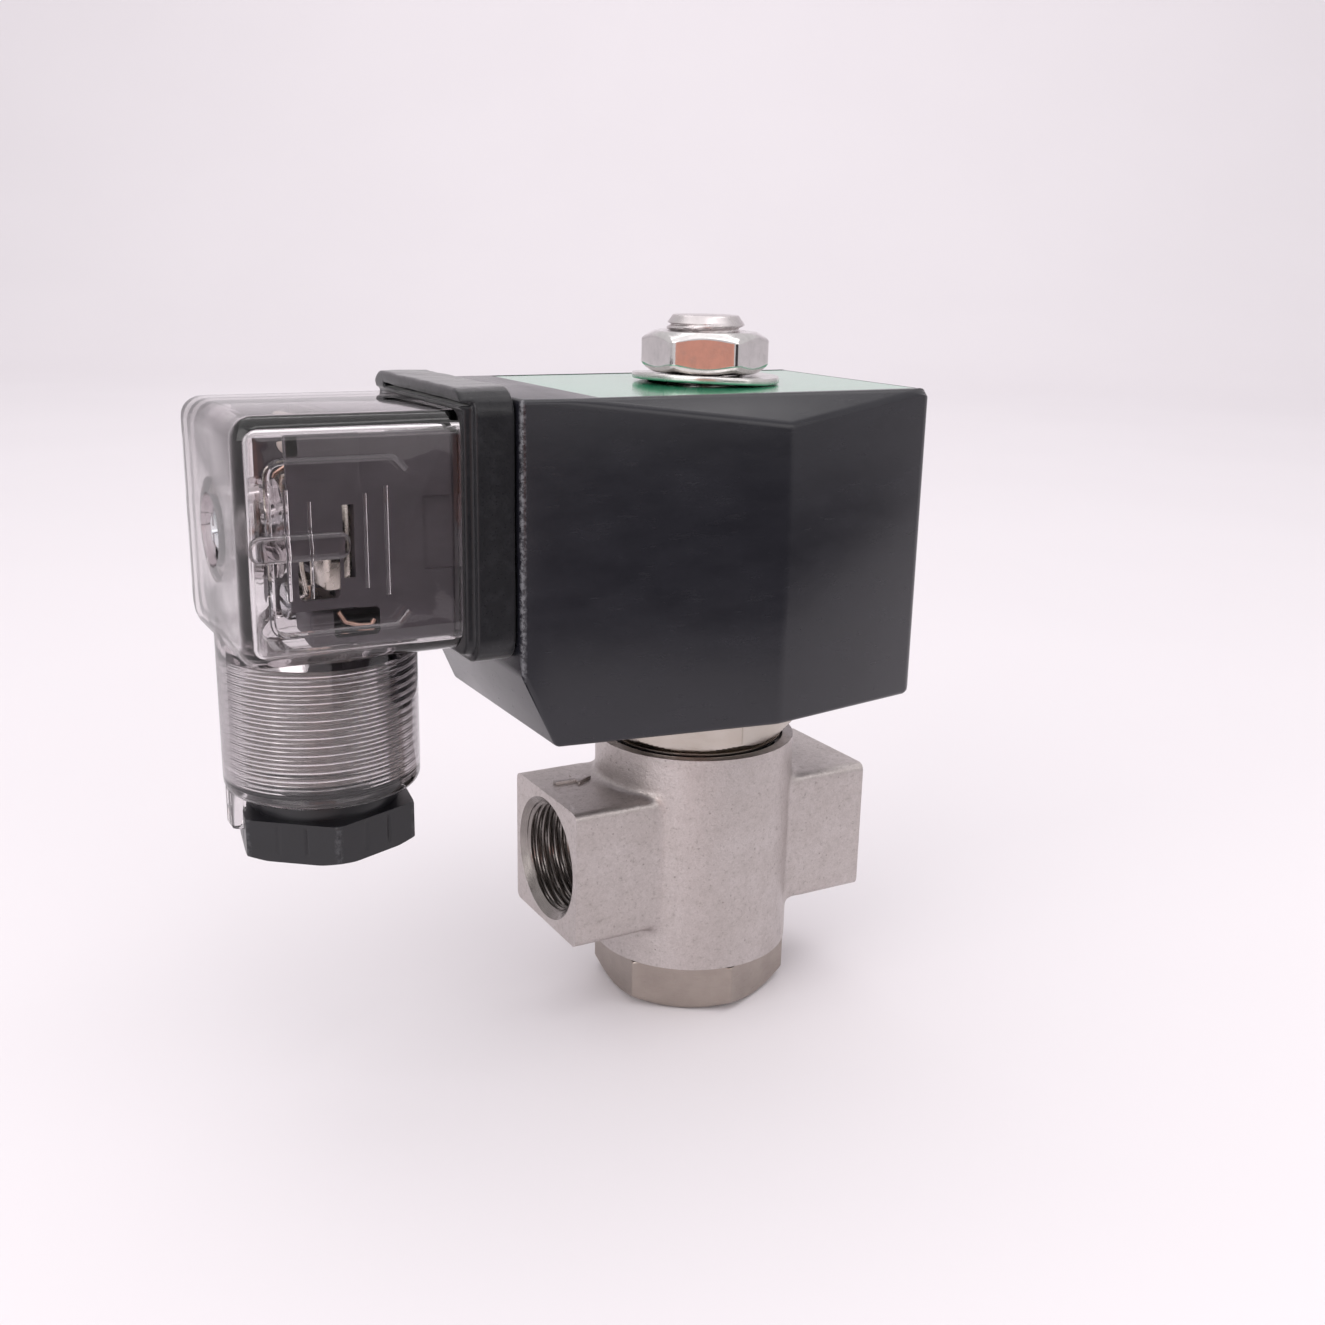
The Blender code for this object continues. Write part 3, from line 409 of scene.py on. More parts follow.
def weighted(piece, width, share, segments=4):
    """Rounds each edge by its own share of width, which share(two ends in millimetres) gives."""
    mesh = piece.data
    weights = mesh.attributes.new("bevel_weight_edge", "FLOAT", "EDGE")
    for edge in mesh.edges:
        ends = (mesh.vertices[index].co / MM for index in edge.vertices)
        weights.data[edge.index].value = share(*ends)
    return modify(
        piece, "BEVEL", width=width * MM, segments=segments, limit_method="WEIGHT", use_clamp_overlap=True
    )


def facing(toward):
    """The rotation that turns +Z towards a direction."""
    return Vector(toward).to_track_quat("Z", "Y").to_matrix()


def lathe(name, profile, place=(0, 0, 0), toward=(0, 0, 1), angles=96, shape=None):
    """Turns (radius, height) points round an axis; shape(angle, radius, height) may change the radius."""
    if isinstance(angles, int):
        angles = [TURN * i / angles for i in range(angles)]
    count, verts, rings = len(angles), [], []
    for radius, height in profile:
        first = len(verts)
        if radius == 0:
            rings.append([first] * count)
            verts.append(Vector((0, 0, height)))
        else:
            rings.append(list(range(first, first + count)))
            for angle in angles:
                reach = shape(angle, radius, height) if shape else radius
                verts.append(Vector((reach * math.cos(angle), reach * math.sin(angle), height)))
    following = rings[1:] + rings[:1] if profile[0][0] > 0 else rings[1:]
    faces = []
    for low, high in zip(rings, following):
        for i in range(count):
            j = (i + 1) % count
            face = list(dict.fromkeys((low[i], low[j], high[j], high[i])))
            if len(face) > 2:
                faces.append(face)
    turn, place = facing(toward), Vector(place)
    return made(name, [turn @ v + place for v in verts], faces)


def rod(radius, low, high):
    """The profile of a plain cylinder."""
    return [(0, low), (radius, low), (radius, high), (0, high)]


def finer(profile, step):
    """The same outline with points no further apart than step."""
    out = [profile[0]]
    for (r0, h0), (r1, h1) in zip(profile, profile[1:]):
        count = max(1, math.ceil(math.hypot(r1 - r0, h1 - h0) / step))
        for i in range(1, count + 1):
            t = i / count
            out.append((r0 + (r1 - r0) * t, h0 + (h1 - h0) * t))
    return out


def eased(points, radius, steps=4, closed=True):
    """Rounds the corners of a 2-D outline. A point may hold its own radius as a third number."""
    out = []
    count = len(points)
    for i, point in enumerate(points):
        x, y = point[:2]
        r = point[2] if len(point) > 2 else radius
        if r <= 0 or (not closed and i in (0, count - 1)):
            out.append((x, y))
            continue
        here = Vector((x, y))
        back = Vector(points[i - 1][:2]) - here
        on = Vector(points[(i + 1) % count][:2]) - here
        bend = back.angle(on)
        if bend > math.radians(178):
            out.append((x, y))
            continue
        reach = min(r / math.tan(bend / 2), back.length * 0.49, on.length * 0.49)
        start, end = here + back.normalized() * reach, here + on.normalized() * reach
        for k in range(steps + 1):
            t = k / steps
            p = start * (1 - t) ** 2 + here * 2 * t * (1 - t) + end * t * t
            out.append((p.x, p.y))
    return out


def prism(name, outline, low, high, axis="Z"):
    """An outline pushed along Y or Z. The outline's two numbers are the other axes in order."""
    order = {
        "Y": lambda a, b, t: (a, t, b),
        "Z": lambda a, b, t: (a, b, t),
    }[axis]
    count = len(outline)
    verts = [order(a, b, level) for level in (low, high) for a, b in outline]
    faces = [list(range(count)), list(range(count, 2 * count))]
    faces += [[i, (i + 1) % count, count + (i + 1) % count, count + i] for i in range(count)]
    return made(name, verts, faces)


def slab(name, low, high, radius=0.0, segments=3, along=None):
    """A box between two opposite corners whose edges are rounded: all of them, or those along one axis."""
    low, high = (Vector([pick(pair) for pair in zip(low, high)]) for pick in (min, max))
    verts = [[(low, high)[(i >> k) & 1][k] for k in range(3)] for i in range(8)]
    faces = [(0, 1, 3, 2), (4, 5, 7, 6), (0, 1, 5, 4), (2, 3, 7, 6), (0, 2, 6, 4), (1, 3, 7, 5)]
    piece = made(name, verts, faces)
    if radius:
        ease(piece, radius, segments, along)
    return piece


def ease(piece, radius, segments=3, along=None, test=None):
    """Bevels a mesh's edges now: all, those along an axis, or those that test(two ends in mm) picks."""

    def wanted(edge):
        a, b = (v.co / MM for v in edge.verts)
        run = [abs(b[k] - a[k]) for k in range(3)]
        return (along is None or run[along] >= max(run) - 1e-6) and (test is None or test(a, b))

    with editing(piece.data) as work:
        bmesh.ops.bevel(
            work, geom=[edge for edge in work.edges if wanted(edge)], offset=radius * MM,
            segments=segments, profile=0.5, affect="EDGES", clamp_overlap=True,
        )  # fmt: skip
    return piece


def wire(name, points, radius, sides=10, smooth=True, closed=False):
    """A round wire or rod through the points, or a closed loop of it."""
    curve = bpy.data.curves.new(name, "CURVE")
    curve.dimensions = "3D"
    curve.bevel_depth = radius * MM
    curve.bevel_resolution = max(1, sides // 4)
    curve.use_fill_caps = not closed
    if smooth:
        spline = curve.splines.new("NURBS")
        spline.order_u = 4
        spline.use_endpoint_u = True
        curve.resolution_u = 8
    else:
        spline = curve.splines.new("POLY")
    spline.use_cyclic_u = closed
    spline.points.add(len(points) - 1)
    for slot, point in zip(spline.points, points):
        slot.co = (*[c * MM for c in point], 1)
    temp = placed(name + "_curve", curve)
    mesh = evaluated(temp)
    bpy.data.objects.remove(temp)
    bpy.data.curves.remove(curve)
    mesh.name = name
    return placed(name, mesh)


def warp(piece, move):
    """Moves each vertex to move(point in millimetres)."""
    for vertex in piece.data.vertices:
        vertex.co = Vector(move(vertex.co / MM)) * MM
    piece.data.update()
    return piece


def install(piece, body, look, *nodes, slot=None, smooth=35):
    """Gives a finished piece its look, shading and body, and hides the CAD nodes it stands for."""
    piece.data.materials.clear()
    piece.data.materials.append(LOOKS[look].material)
    for polygon in piece.data.polygons:
        polygon.use_smooth = True
        polygon.material_index = 0
    piece.data.set_sharp_from_angle(angle=math.radians(smooth))
    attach(piece, body)
    if nodes:
        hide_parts(*nodes)
    return piece


def nearer(a, b, soft):
    """The smaller of two numbers, eased where they are alike."""
    h = min(1.0, max(0.0, 0.5 + 0.5 * (b - a) / soft))
    return b + (a - b) * h - soft * h * (1 - h)


def hexagon_angles(corner):
    """Angles round a hexagon, close together at its corners."""
    near = (0, 0.35, 0.8, 1.4, 2.2, 3.4, 5, 7.5, 10.5, 14, 18, 22.5, 27)
    around = sorted({-a for a in near} | set(near) | {30.0})
    return [math.radians(corner + 60 * k + a) for k in range(6) for a in around]


def hexagon(name, flats, corner, profile, soft, place=(0, 0, 0), extra=None, angles=None):
    """A turned outline limited to a hexagon, one of whose corners bears corner degrees; soft eases them."""
    normals = [math.radians(corner + 30 + 60 * k) for k in range(6)]

    def shape(angle, radius, height):
        reach = radius
        if radius > flats * 0.4:
            facing_it = [math.cos(angle - normal) for normal in normals]
            sides = sorted(flats / 2 / share for share in facing_it if share > 0.4)
            side = nearer(sides[0], sides[1], soft) if len(sides) > 1 else sides[0]
            reach = nearer(side, radius, soft * 1.5)
        return extra(angle, reach, height) if extra else reach

    return lathe(name, profile, place, angles=angles or hexagon_angles(corner), shape=shape)


def helix(pitch, depth, low, high, run_out, start=0.0):
    """A thread for lathe: a rounded V of signed depth that winds between two heights."""

    def shape(angle, radius, height):
        if not low < height < high:
            return radius
        phase = (height / pitch - angle / TURN + start) % 1.0
        crest = 0.5 - 0.5 * math.cos(TURN * phase)
        crest = crest * crest * (3 - 2 * crest)
        fade = min(1.0, (height - low) / run_out, (high - height) / run_out)
        return radius + depth * crest * fade

    return shape


# ---- valve body and plug


PORT_Z = 22.3
PORT_HALF = 9.45
PORT_HOLE_R = 7.475


def sliced(piece, point, normal):
    """Cuts off what lies on the normal's side of a plane and closes the cut."""
    with editing(piece.data) as work:
        result = bmesh.ops.bisect_plane(
            work, geom=work.verts[:] + work.edges[:] + work.faces[:], plane_co=Vector(point) * MM,
            plane_no=Vector(normal), clear_outer=True, dist=2e-5,
        )  # fmt: skip
        rim = [e for e in result["geom_cut"] if isinstance(e, bmesh.types.BMEdge)]
        bmesh.ops.edgeloop_fill(work, edges=rim)
        bmesh.ops.recalc_face_normals(work, faces=work.faces)
    return piece


def port_cutter(side):
    """The space of one threaded port: a chamfered mouth, a real helical thread and a drilled end."""
    high = corners("valve_body")[1].x
    pitch, depth, floor = 0.95, 0.42, 11.5
    root = PORT_HOLE_R + 0.2
    profile = [(0, high + 1), (9.5, high + 1), (8.5, high)]
    profile += finer([(root, high - 0.7), (root, floor + 1.5)], 0.13)
    profile += [(PORT_HOLE_R, floor + 1.0), (PORT_HOLE_R, floor), (6.9, floor - 0.4), (0, floor - 0.4)]
    thread = helix(pitch, -depth, floor + 1.2, high - 0.5, 0.5)
    return lathe("port_cutter", profile, (0, 0, PORT_Z), (side, 0, 0), 96, thread)


def flow_arrow():
    """A raised flow arrow on the bar's top beside the left port, pointing towards the seat."""
    middle, thin, broad = 2.5, 0.5, 1.7
    tail, neck, tip = -20.5, -17.6, -14.8
    outline = [
        (tail, middle - thin), (neck, middle - thin), (neck, middle - broad), (tip, middle),
        (neck, middle + broad), (neck, middle + thin), (tail, middle + thin),
    ]  # fmt: skip
    top = PORT_Z + PORT_HALF
    return rounded(prism("flow_arrow", eased(outline, 0.2, 2), top - 1, top + 0.42), 0.12, 2, 60)


def make_casting():
    """The blasted casting: soft fillets between barrel and port bar, machined ends, bores and threads."""
    low, high = corners("valve_body")
    spare = 1.5  # cut off again below, so that the ends come out flat
    radius = high.y
    body = merged(
        "valve_body_casting",
        lathe("barrel", rod(radius, low.z - spare, high.z + spare), angles=144),
        slab(
            "bar",
            (low.x - spare, -PORT_HALF, PORT_Z - PORT_HALF),
            (high.x + spare, PORT_HALF, PORT_Z + PORT_HALF),
            0.9, 3, along=0,
        ),
    )  # fmt: skip
    modify(body, "REMESH", mode="VOXEL", voxel_size=0.30 * MM)  # fine enough for soft fillets
    corner, reach = body.vertex_groups.new(name="corner"), 2.2
    for vertex in body.data.vertices:
        x, y, z = vertex.co / MM
        from_barrel = abs(math.hypot(x, y) - radius)
        beside, above = abs(y) - PORT_HALF, abs(z - PORT_Z) - PORT_HALF
        from_bar = math.hypot(max(beside, 0), max(above, 0)) or abs(max(beside, above))
        weight = max(0.0, 1 - from_barrel / reach) * max(0.0, 1 - from_bar / reach)
        corner.add([vertex.index], weight, "REPLACE")
    modify(body, "SMOOTH", factor=0.5, iterations=4)
    modify(body, "SMOOTH", factor=0.7, iterations=40, vertex_group="corner")
    body.vertex_groups.clear()
    for point, normal in (
        ((low.x, 0, 0), (-1, 0, 0)), ((high.x, 0, 0), (1, 0, 0)),
        ((0, 0, low.z), (0, 0, -1)), ((0, 0, high.z), (0, 0, 1)),
    ):  # fmt: skip
        sliced(body, point, normal)
    add(body, flow_arrow())
    under, over = low.z - 1, high.z + 1
    plug_bore = [(0, under), (11.2, under), (11.2, low.z + 1.8), (9.3, low.z + 1.8), (9.3, 13), (8, 13)]
    plug_bore += [(8, 19.5), (0, 19.5)]
    tube_bore = [(3.2, over), (12.65, over), (12.4, high.z - 0.25), (12.4, high.z - 1.7), (10.3, high.z - 1.7)]
    tube_bore += [(10.3, 27), (8, 27), (8, 22.5), (4, 22.5), (3.2, 23.8)]
    seat = [(0, 10), (2, 10), (2, 24.3), (3.7, 24.3), (3.7, over), (0, over)]
    passage = rod(2, 5, 12.5)
    cut(
        body,
        port_cutter(-1),
        port_cutter(1),
        lathe("plug_bore", plug_bore, angles=96),
        lathe("tube_bore", tube_bore, angles=96),
        lathe("seat_bore", seat, angles=32),
        lathe("low_passage", passage, (0, 0, 17.2), (-1, 0, 0), 24),
        lathe("high_passage", passage, (0, 0, 24.9), (1, 0, 0), 24),
    )
    install(body, "valve", "cast", "valve_body", smooth=28)
    # The faces inside the ports take the darker bored steel: painted shade in the port recesses, on a machined
    # finish.
    body.data.materials.append(LOOKS["bored"].material)
    for face in body.data.polygons:
        x, y, z = face.center / MM
        if math.hypot(y, z - PORT_Z) < 8.7 and abs(x) > 11 and abs(face.normal.x) < 0.999:
            face.material_index = 1


def make_plug():
    """The plug that closes the body from below: a hexagon head, its shoulder and its threaded shank."""
    high = corners("bottom_plug")[1]
    flats, corner, flat_top = 24.0, 25.4, 6.9
    outline = [(0, 0), (11.1, 0)] + finer([(11.5, 0.12), (14.1, 1.75), (14.3, 6.6), (13.7, flat_top)], 0.3)
    outline += [(9.0, flat_top), (9.0, 12.3), (8.6, high.z), (0, high.z)]
    piece = hexagon("plug_body", flats, corner, outline, 0.30)
    install(piece, "valve", "plug", "bottom_plug", slot="turned_stainless", smooth=22)


def make_tube_hex():
    """The tube's hexagon above a narrow flange that rests in the body's mouth."""
    low, high = corners("tube_hex")
    flats, corner, bore, foot = 23.9, 27.0, 7.3, 38.0
    outline = [(bore, low.z), (10.0, low.z), (10.0, foot - 0.38)]
    outline += [(12.1, foot - 0.38), (12.15, foot - 0.05), (11.6, foot)]
    outline += finer([(11.7, foot + 0.02), (14.2, foot + 1.6), (14.2, high.z - 0.9), (13.0, high.z)], 0.3)
    outline += [(bore, high.z)]
    piece = hexagon("tube_base_hex", flats, corner, outline, 0.14)
    install(piece, "valve", "hex", "tube_hex", slot="turned_stainless", smooth=22)


STUD_PITCH = 1.25


def make_core():
    """The fixed core, whose threaded stud comes out through the coil's top."""
    low, high = corners("fixed_core")
    stud, bevel = 5.1, 1.15
    outline = [(0, low.z), (4.2, low.z), (4.2, low.z + 2), (5.3, low.z + 2), (5.3, low.z), (6.1, low.z)]
    outline += [(6.1, 80.3), (7.0, 80.3), (7.0, 84.5), (stud, 84.5)]
    outline += finer([(stud, 84.6), (stud, high.z - bevel)], 0.11)
    outline += finer([(stud, high.z - bevel), (4.35, high.z - 0.08)], 0.2) + [(4.2, high.z), (0, high.z)]
    thread = helix(STUD_PITCH, -0.7, 84.8, high.z - bevel + 0.15, 0.25, start=-0.16)
    piece = lathe("core_and_stud", outline, angles=96, shape=thread)
    install(piece, "valve", "stud", "fixed_core", slot="bright_steel", smooth=30)


def make_top_nut():
    """The stud's nut: chamfered above and below, with a threaded bore."""
    low, high = corners("top_nut")
    flats, corner, bore, wide, chamfer, foot = 14.8, 29.0, 4.75, 8.75, 1.15, low.z - 0.25
    outline = [(bore, foot + 0.35), (bore + 0.4, foot), (6.9, foot)]
    side = [(7.1, foot + 0.04), (wide, foot + chamfer), (wide, high.z - chamfer), (6.7, high.z - 0.05)]
    outline += finer(side, 0.16) + [(6.35, high.z), (bore + 0.55, high.z)]
    outline += finer([(bore, high.z - 0.5), (bore, foot + 0.35)], 0.11)[:-1]
    thread = helix(STUD_PITCH, -0.5, foot + 0.2, high.z - 0.4, 0.5)

    def inner(angle, radius, height):
        return thread(angle, radius, height) if radius < 5.1 else radius

    piece = hexagon("stud_nut", flats, corner, outline, 0.55, extra=inner)
    install(piece, "valve", "nut", "top_nut", slot="bright_steel", smooth=50)


def make_top_washer():
    """A thin pressed washer, slightly dished and lifted at the front left."""
    low, high = corners("top_washer")
    centre, outer, inner, half = (low + high) / 2, high.x, 5.3, 0.45
    lift_bearing = math.radians(205)
    outline = eased([(inner, -half), (outer, -half), (outer, half), (inner, half)], 0.28, 3)
    outline = finer(outline + outline[:1], 0.6)[:-1]
    piece = lathe("stud_washer", outline, (0.2, 0, centre.z - 0.24), angles=96)

    def bend(p):
        reach = math.hypot(p.x, p.y)
        away = max(0.0, (reach - 6.0) / (outer - 6.0))
        lift = max(0.0, math.cos(math.atan2(p.y, p.x) - lift_bearing))
        return (p.x, p.y, p.z + 0.5 * away * lift - 0.05 * away * (1 - lift))

    install(warp(piece, bend), "valve", "washer", "top_washer", slot="bright_steel", smooth=40)


def make_spring():
    """The return spring over the plunger."""
    low, high = corners("return_spring")
    wire_r, turns, steps = 0.4, 7, 16
    around = high.x - wire_r
    points = []
    for i in range(turns * steps + 1):
        angle = TURN * i / steps
        t = i / (turns * steps)
        z = low.z + wire_r + (high.z - low.z - 2 * wire_r) * (t + 0.035 * math.sin(TURN * t))
        points.append((around * math.cos(angle), around * math.sin(angle), z))
    piece = wire("coil_spring", points, wire_r, 12)
    install(piece, "plunger", "spring", "return_spring")
    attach(piece, "valve")
    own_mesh(piece)


# ---- coil block


HOUSE_Z = 70.5  # height of the connector's middle, and of its screw


def endways(name, profile, angles, shape=None):
    """A lathe round the connector's screw axis, with heights measured towards -X."""
    return lathe(name, profile, (0, 0, HOUSE_Z), (-1, 0, 0), angles, shape)


def make_coil_block():
    """The moulded block: a ridged six-sided form with a label recess and the contact island."""
    low, high = corners("coil_encapsulation")
    left = COIL_LEFT
    ridge_y, right_y, facet_foot = high.y, 16.8, 82.3
    near = [(left, -16.1), (COIL_RIDGE, -ridge_y), (high.x, -right_y)]
    outline = near + [(x, -y) for x, y in reversed(near)]
    block = prism("coil_block", outline, low.z, high.z)
    for side in (-1, 1):
        across, down = ridge_y - right_y, high.z - facet_foot
        sliced(block, (0, side * ridge_y, facet_foot), (0, side * down, across))
    sliced(block, (left, 0, 53.6), (low.z - 53.6, 0, left + 29.2))

    def share(a, b):
        return 1.0 if min(a.x, b.x) > high.x - 0.1 else 0.4

    weighted(block, 1.5, share, 5)
    label_left = -23.6  # the label's recess runs from here to the right edge
    half_y, half_z = 11.2, 11.4
    island_low, island_high = (low.x, -half_y, HOUSE_Z - half_z), (left + 3, half_y, HOUSE_Z + half_z)
    island = slab("island", island_low, island_high, 0.8, 2)
    add(block, island)
    cut(
        block,
        slab("label_step", (label_left, -15.9, high.z - 0.45), (high.x - 0.9, 15.9, high.z + 3)),
        slab("frame_space", (-21.4, -12.8, low.z - 1), (21.4, 12.8, 81.8)),
        lathe("winding_space", rod(17.7, 47.6, 79)),
        lathe("bore", rod(7.4, 80, 90), angles=64),
    )
    slots = [
        slab("slot_line", (-40, -9.7, HOUSE_Z - 3.3), (-22, -8.3, HOUSE_Z + 3.3)),
        slab("slot_neutral", (-40, 8.3, HOUSE_Z - 3.3), (-22, 9.7, HOUSE_Z + 3.3)),
        slab("slot_earth", (-40, -3.3, 60.8), (-22, 3.3, 62.2)),
        endways("insert_hole", rod(2.9, 27.5, 38), 32),
    ]
    cut(block, *slots)
    install(block, "coil", "coil", "coil_encapsulation", smooth=28)


def make_label():
    """The foil label in its recess, with softly rounded corners, and a thin raised bead of the block's plastic
    round its edge.
    """
    low, high = corners("coil_label")
    left, right, edge = -23.5, high.x - 0.9, 15.75
    outline = eased([(left, -edge), (right, -edge), (right, edge), (left, edge)], 0.9, 4)
    sheet = prism("rating_label", outline, low.z - 0.1, high.z - 0.06)
    cut(sheet, lathe("label_hole", rod(7.5, 84, 87), angles=64))
    install(sheet, "coil", "label", "coil_label", smooth=30)
    rim = wire(
        "label_rim",
        [(x * 1.004, y * 1.004, high.z - 0.1) for x, y in outline],
        0.07, 6, smooth=False, closed=True,
    )  # fmt: skip
    install(rim, "coil", "coil", smooth=60)


# ---- rubber collar


def make_gasket():
    """The rubber collar: a soft ring waisted beside the housing, with a slotted folded lip along its top."""
    low, high = corners("connector_gasket")
    mouth, back, waist = -39.6, high.x, -38.5
    lip_foot, slot_foot, slot_top = 84.75, 85.05, 85.5
    half, foot, top = high.y, low.z, high.z - 0.15
    ring = slab("collar", (mouth, -half, foot), (back, half, top), 3.0, 6, along=0)
    cut(ring, slab("opening", (mouth - 5, -11.6, 58.7), (back + 1, 11.6, 82.3), 1.0, 3, along=0))
    lip = slab("lip", (low.x + 0.1, -half, foot), (waist, half, top), 3.0, 6, along=0)
    cut(lip, slab("under_lip", (low.x - 1, -half - 1, foot - 1), (waist + 1, half + 1, lip_foot)))
    add(ring, lip)
    shallow = 0.85
    strip = slab("strip", (mouth - 1, -half - 1, foot - 1), (waist, half + 1, 85.3))
    core_low, core_high = (mouth - 2, shallow - half, foot + shallow), (waist + 1, half - shallow, 90)
    core = slab("strip_core", core_low, core_high, 2.4, 5, along=0)
    cut(ring, cut(strip, core))
    cut(ring, slab("slot", (low.x - 1, -half - 1, slot_foot), (waist - 0.1, 11.2, slot_top)))
    modify(ring, "REMESH", mode="VOXEL", voxel_size=0.17 * MM)
    modify(ring, "SMOOTH", factor=0.5, iterations=8)

    def worn(p):
        ripple = noise.noise(p * 0.22) * 0.14 + noise.noise(p * 0.9) * 0.04
        return (p.x, p.y + 0.5 * ripple * (abs(p.y) > 13), p.z + ripple * (p.z > 84.6))

    install(warp(ring, worn), "coil", "rubber", "connector_gasket", smooth=60)


# ---- connector housing


def outline_line(side):
    """A raised line on the housing's side: a rounded rectangle, left open towards the coil."""
    left, right, foot, top, bend, surface = -61.7, -46.3, 60.9, 79.8, 1.9, 14.12
    around = [(right, top - 1.5, 0), (right - 1.3, top, 0.9), (left, top)]
    around += [(left, foot), (right - 1.3, foot, 0.9), (right, foot + 1.5, 0)]
    points = [(x, side * surface, z) for x, z in eased(around, bend, 6, closed=False)]
    return wire("outline", points, 0.38, 12, smooth=False)


def make_housing():
    """The smoked shell with real walls: screw boss, ribs, guide bars, raised lines and threaded tube."""
    low, high = corners("connector_housing")
    end, mouth, half, top, wall = low.x, high.x, high.y, high.z, 1.8
    foot = 56.5
    shell = slab("housing_shell", (end, -half, foot), (mouth, half, top))

    def low_edge(a, b):
        return a.z < foot + 0.01 and b.z < foot + 0.01 and abs(a.x - b.x) > 20

    def rest(a, b):
        on_end = max(a.x, b.x) < end + 1e-3
        along_top = min(a.z, b.z) > top - 1e-3 and abs(a.x - b.x) > 20
        return on_end or along_top

    ease(shell, 4.0, 6, test=low_edge)
    ease(shell, 2.5, 6, test=rest)
    tube_outer = eased([(0, 38.7), (11.8, 38.7, 1.4), (11.8, 62), (0, 62)], 0, 5, closed=False)
    add(shell, lathe("tube", tube_outer, (GLAND_X, 0, 0), angles=128))
    inner = half - wall
    hollow = slab("hollow", (end + wall, -inner, foot + wall), (mouth + 5, inner, top - wall), 1.0, 4)
    pitch, depth, thread_low, thread_high = 1.05, 0.34, 39.6, 55.2
    bore = [(0, 37.5), (10.4, 37.5), (10.4, 38.5)]
    bore += finer([(9.35, 39.3), (9.35, thread_high)], pitch / 15)
    bore += [(8.0, 55.9), (8.0, 60), (0, 60)]
    winding = helix(pitch, -depth, thread_low, thread_high, 0.6)

    def threaded(angle, radius, height):
        return winding(angle, radius, height) if radius > 8.5 and height > 39.4 else radius

    cut(shell, hollow, lathe("gland_bore", bore, (GLAND_X, 0, 0), angles=128, shape=threaded))
    boss = eased([(0, 57.6), (6.0, 57.6, 0.4), (6.0, 64), (0, 64)], 0, 3, closed=False)
    add(shell, endways("boss", boss, 64))
    recess = [(0, 66), (4.6, 66), (4.2, 64.5), (4.2, 60.0), (1.9, 60.0), (1.9, 55), (0, 55)]
    cut(shell, endways("recess", recess, 64))
    ribs = (
        (-59.4, 64.4, 76.6, 0.26), (-56.9, 64.5, 75.2, 0.22),
        (-50.7, 65.2, 75.8, 0.22), (-48.3, 64.2, 76.5, 0.26),
    )  # fmt: skip
    for side in (-1, 1):
        bar_low, bar_high = (end + 0.9, side * (half - 0.4), 69.0), (-52.9, side * (half + 0.6), 72.0)
        add(shell, rounded(slab("guide", bar_low, bar_high, 1.2, 5, along=1), 0.4, 3, 40))
        for x, z_low, z_high, size in ribs:
            ends = [(x, side * inner, z) for z in (z_low, z_high)]
            add(shell, wire("rib", ends, size, 8, smooth=False))
        add(shell, outline_line(side))
    install(shell, "connector", "smoked", "connector_housing", smooth=30)


def make_tab():
    """A small clear moulding tab that hangs below the tube on its left."""
    outline = eased([(-64.6, 34.6), (-63.2, 34.2), (-62.6, 39.4), (-64.6, 39.6)], 0.4, 3)
    tab = prism("gland_tab", outline, -1.3, 1.3, "Y")
    install(rounded(tab, 0.2, 2), "connector", "smoked", smooth=30)


# ---- inside the connector


# Each contact's (Y, Z) place, and the direction in which its blade is wide.
CONTACTS = {"line": ((-9.0, HOUSE_Z), "z"), "neutral": ((9.0, HOUSE_Z), "z"), "earth": ((0.0, 61.5), "y")}


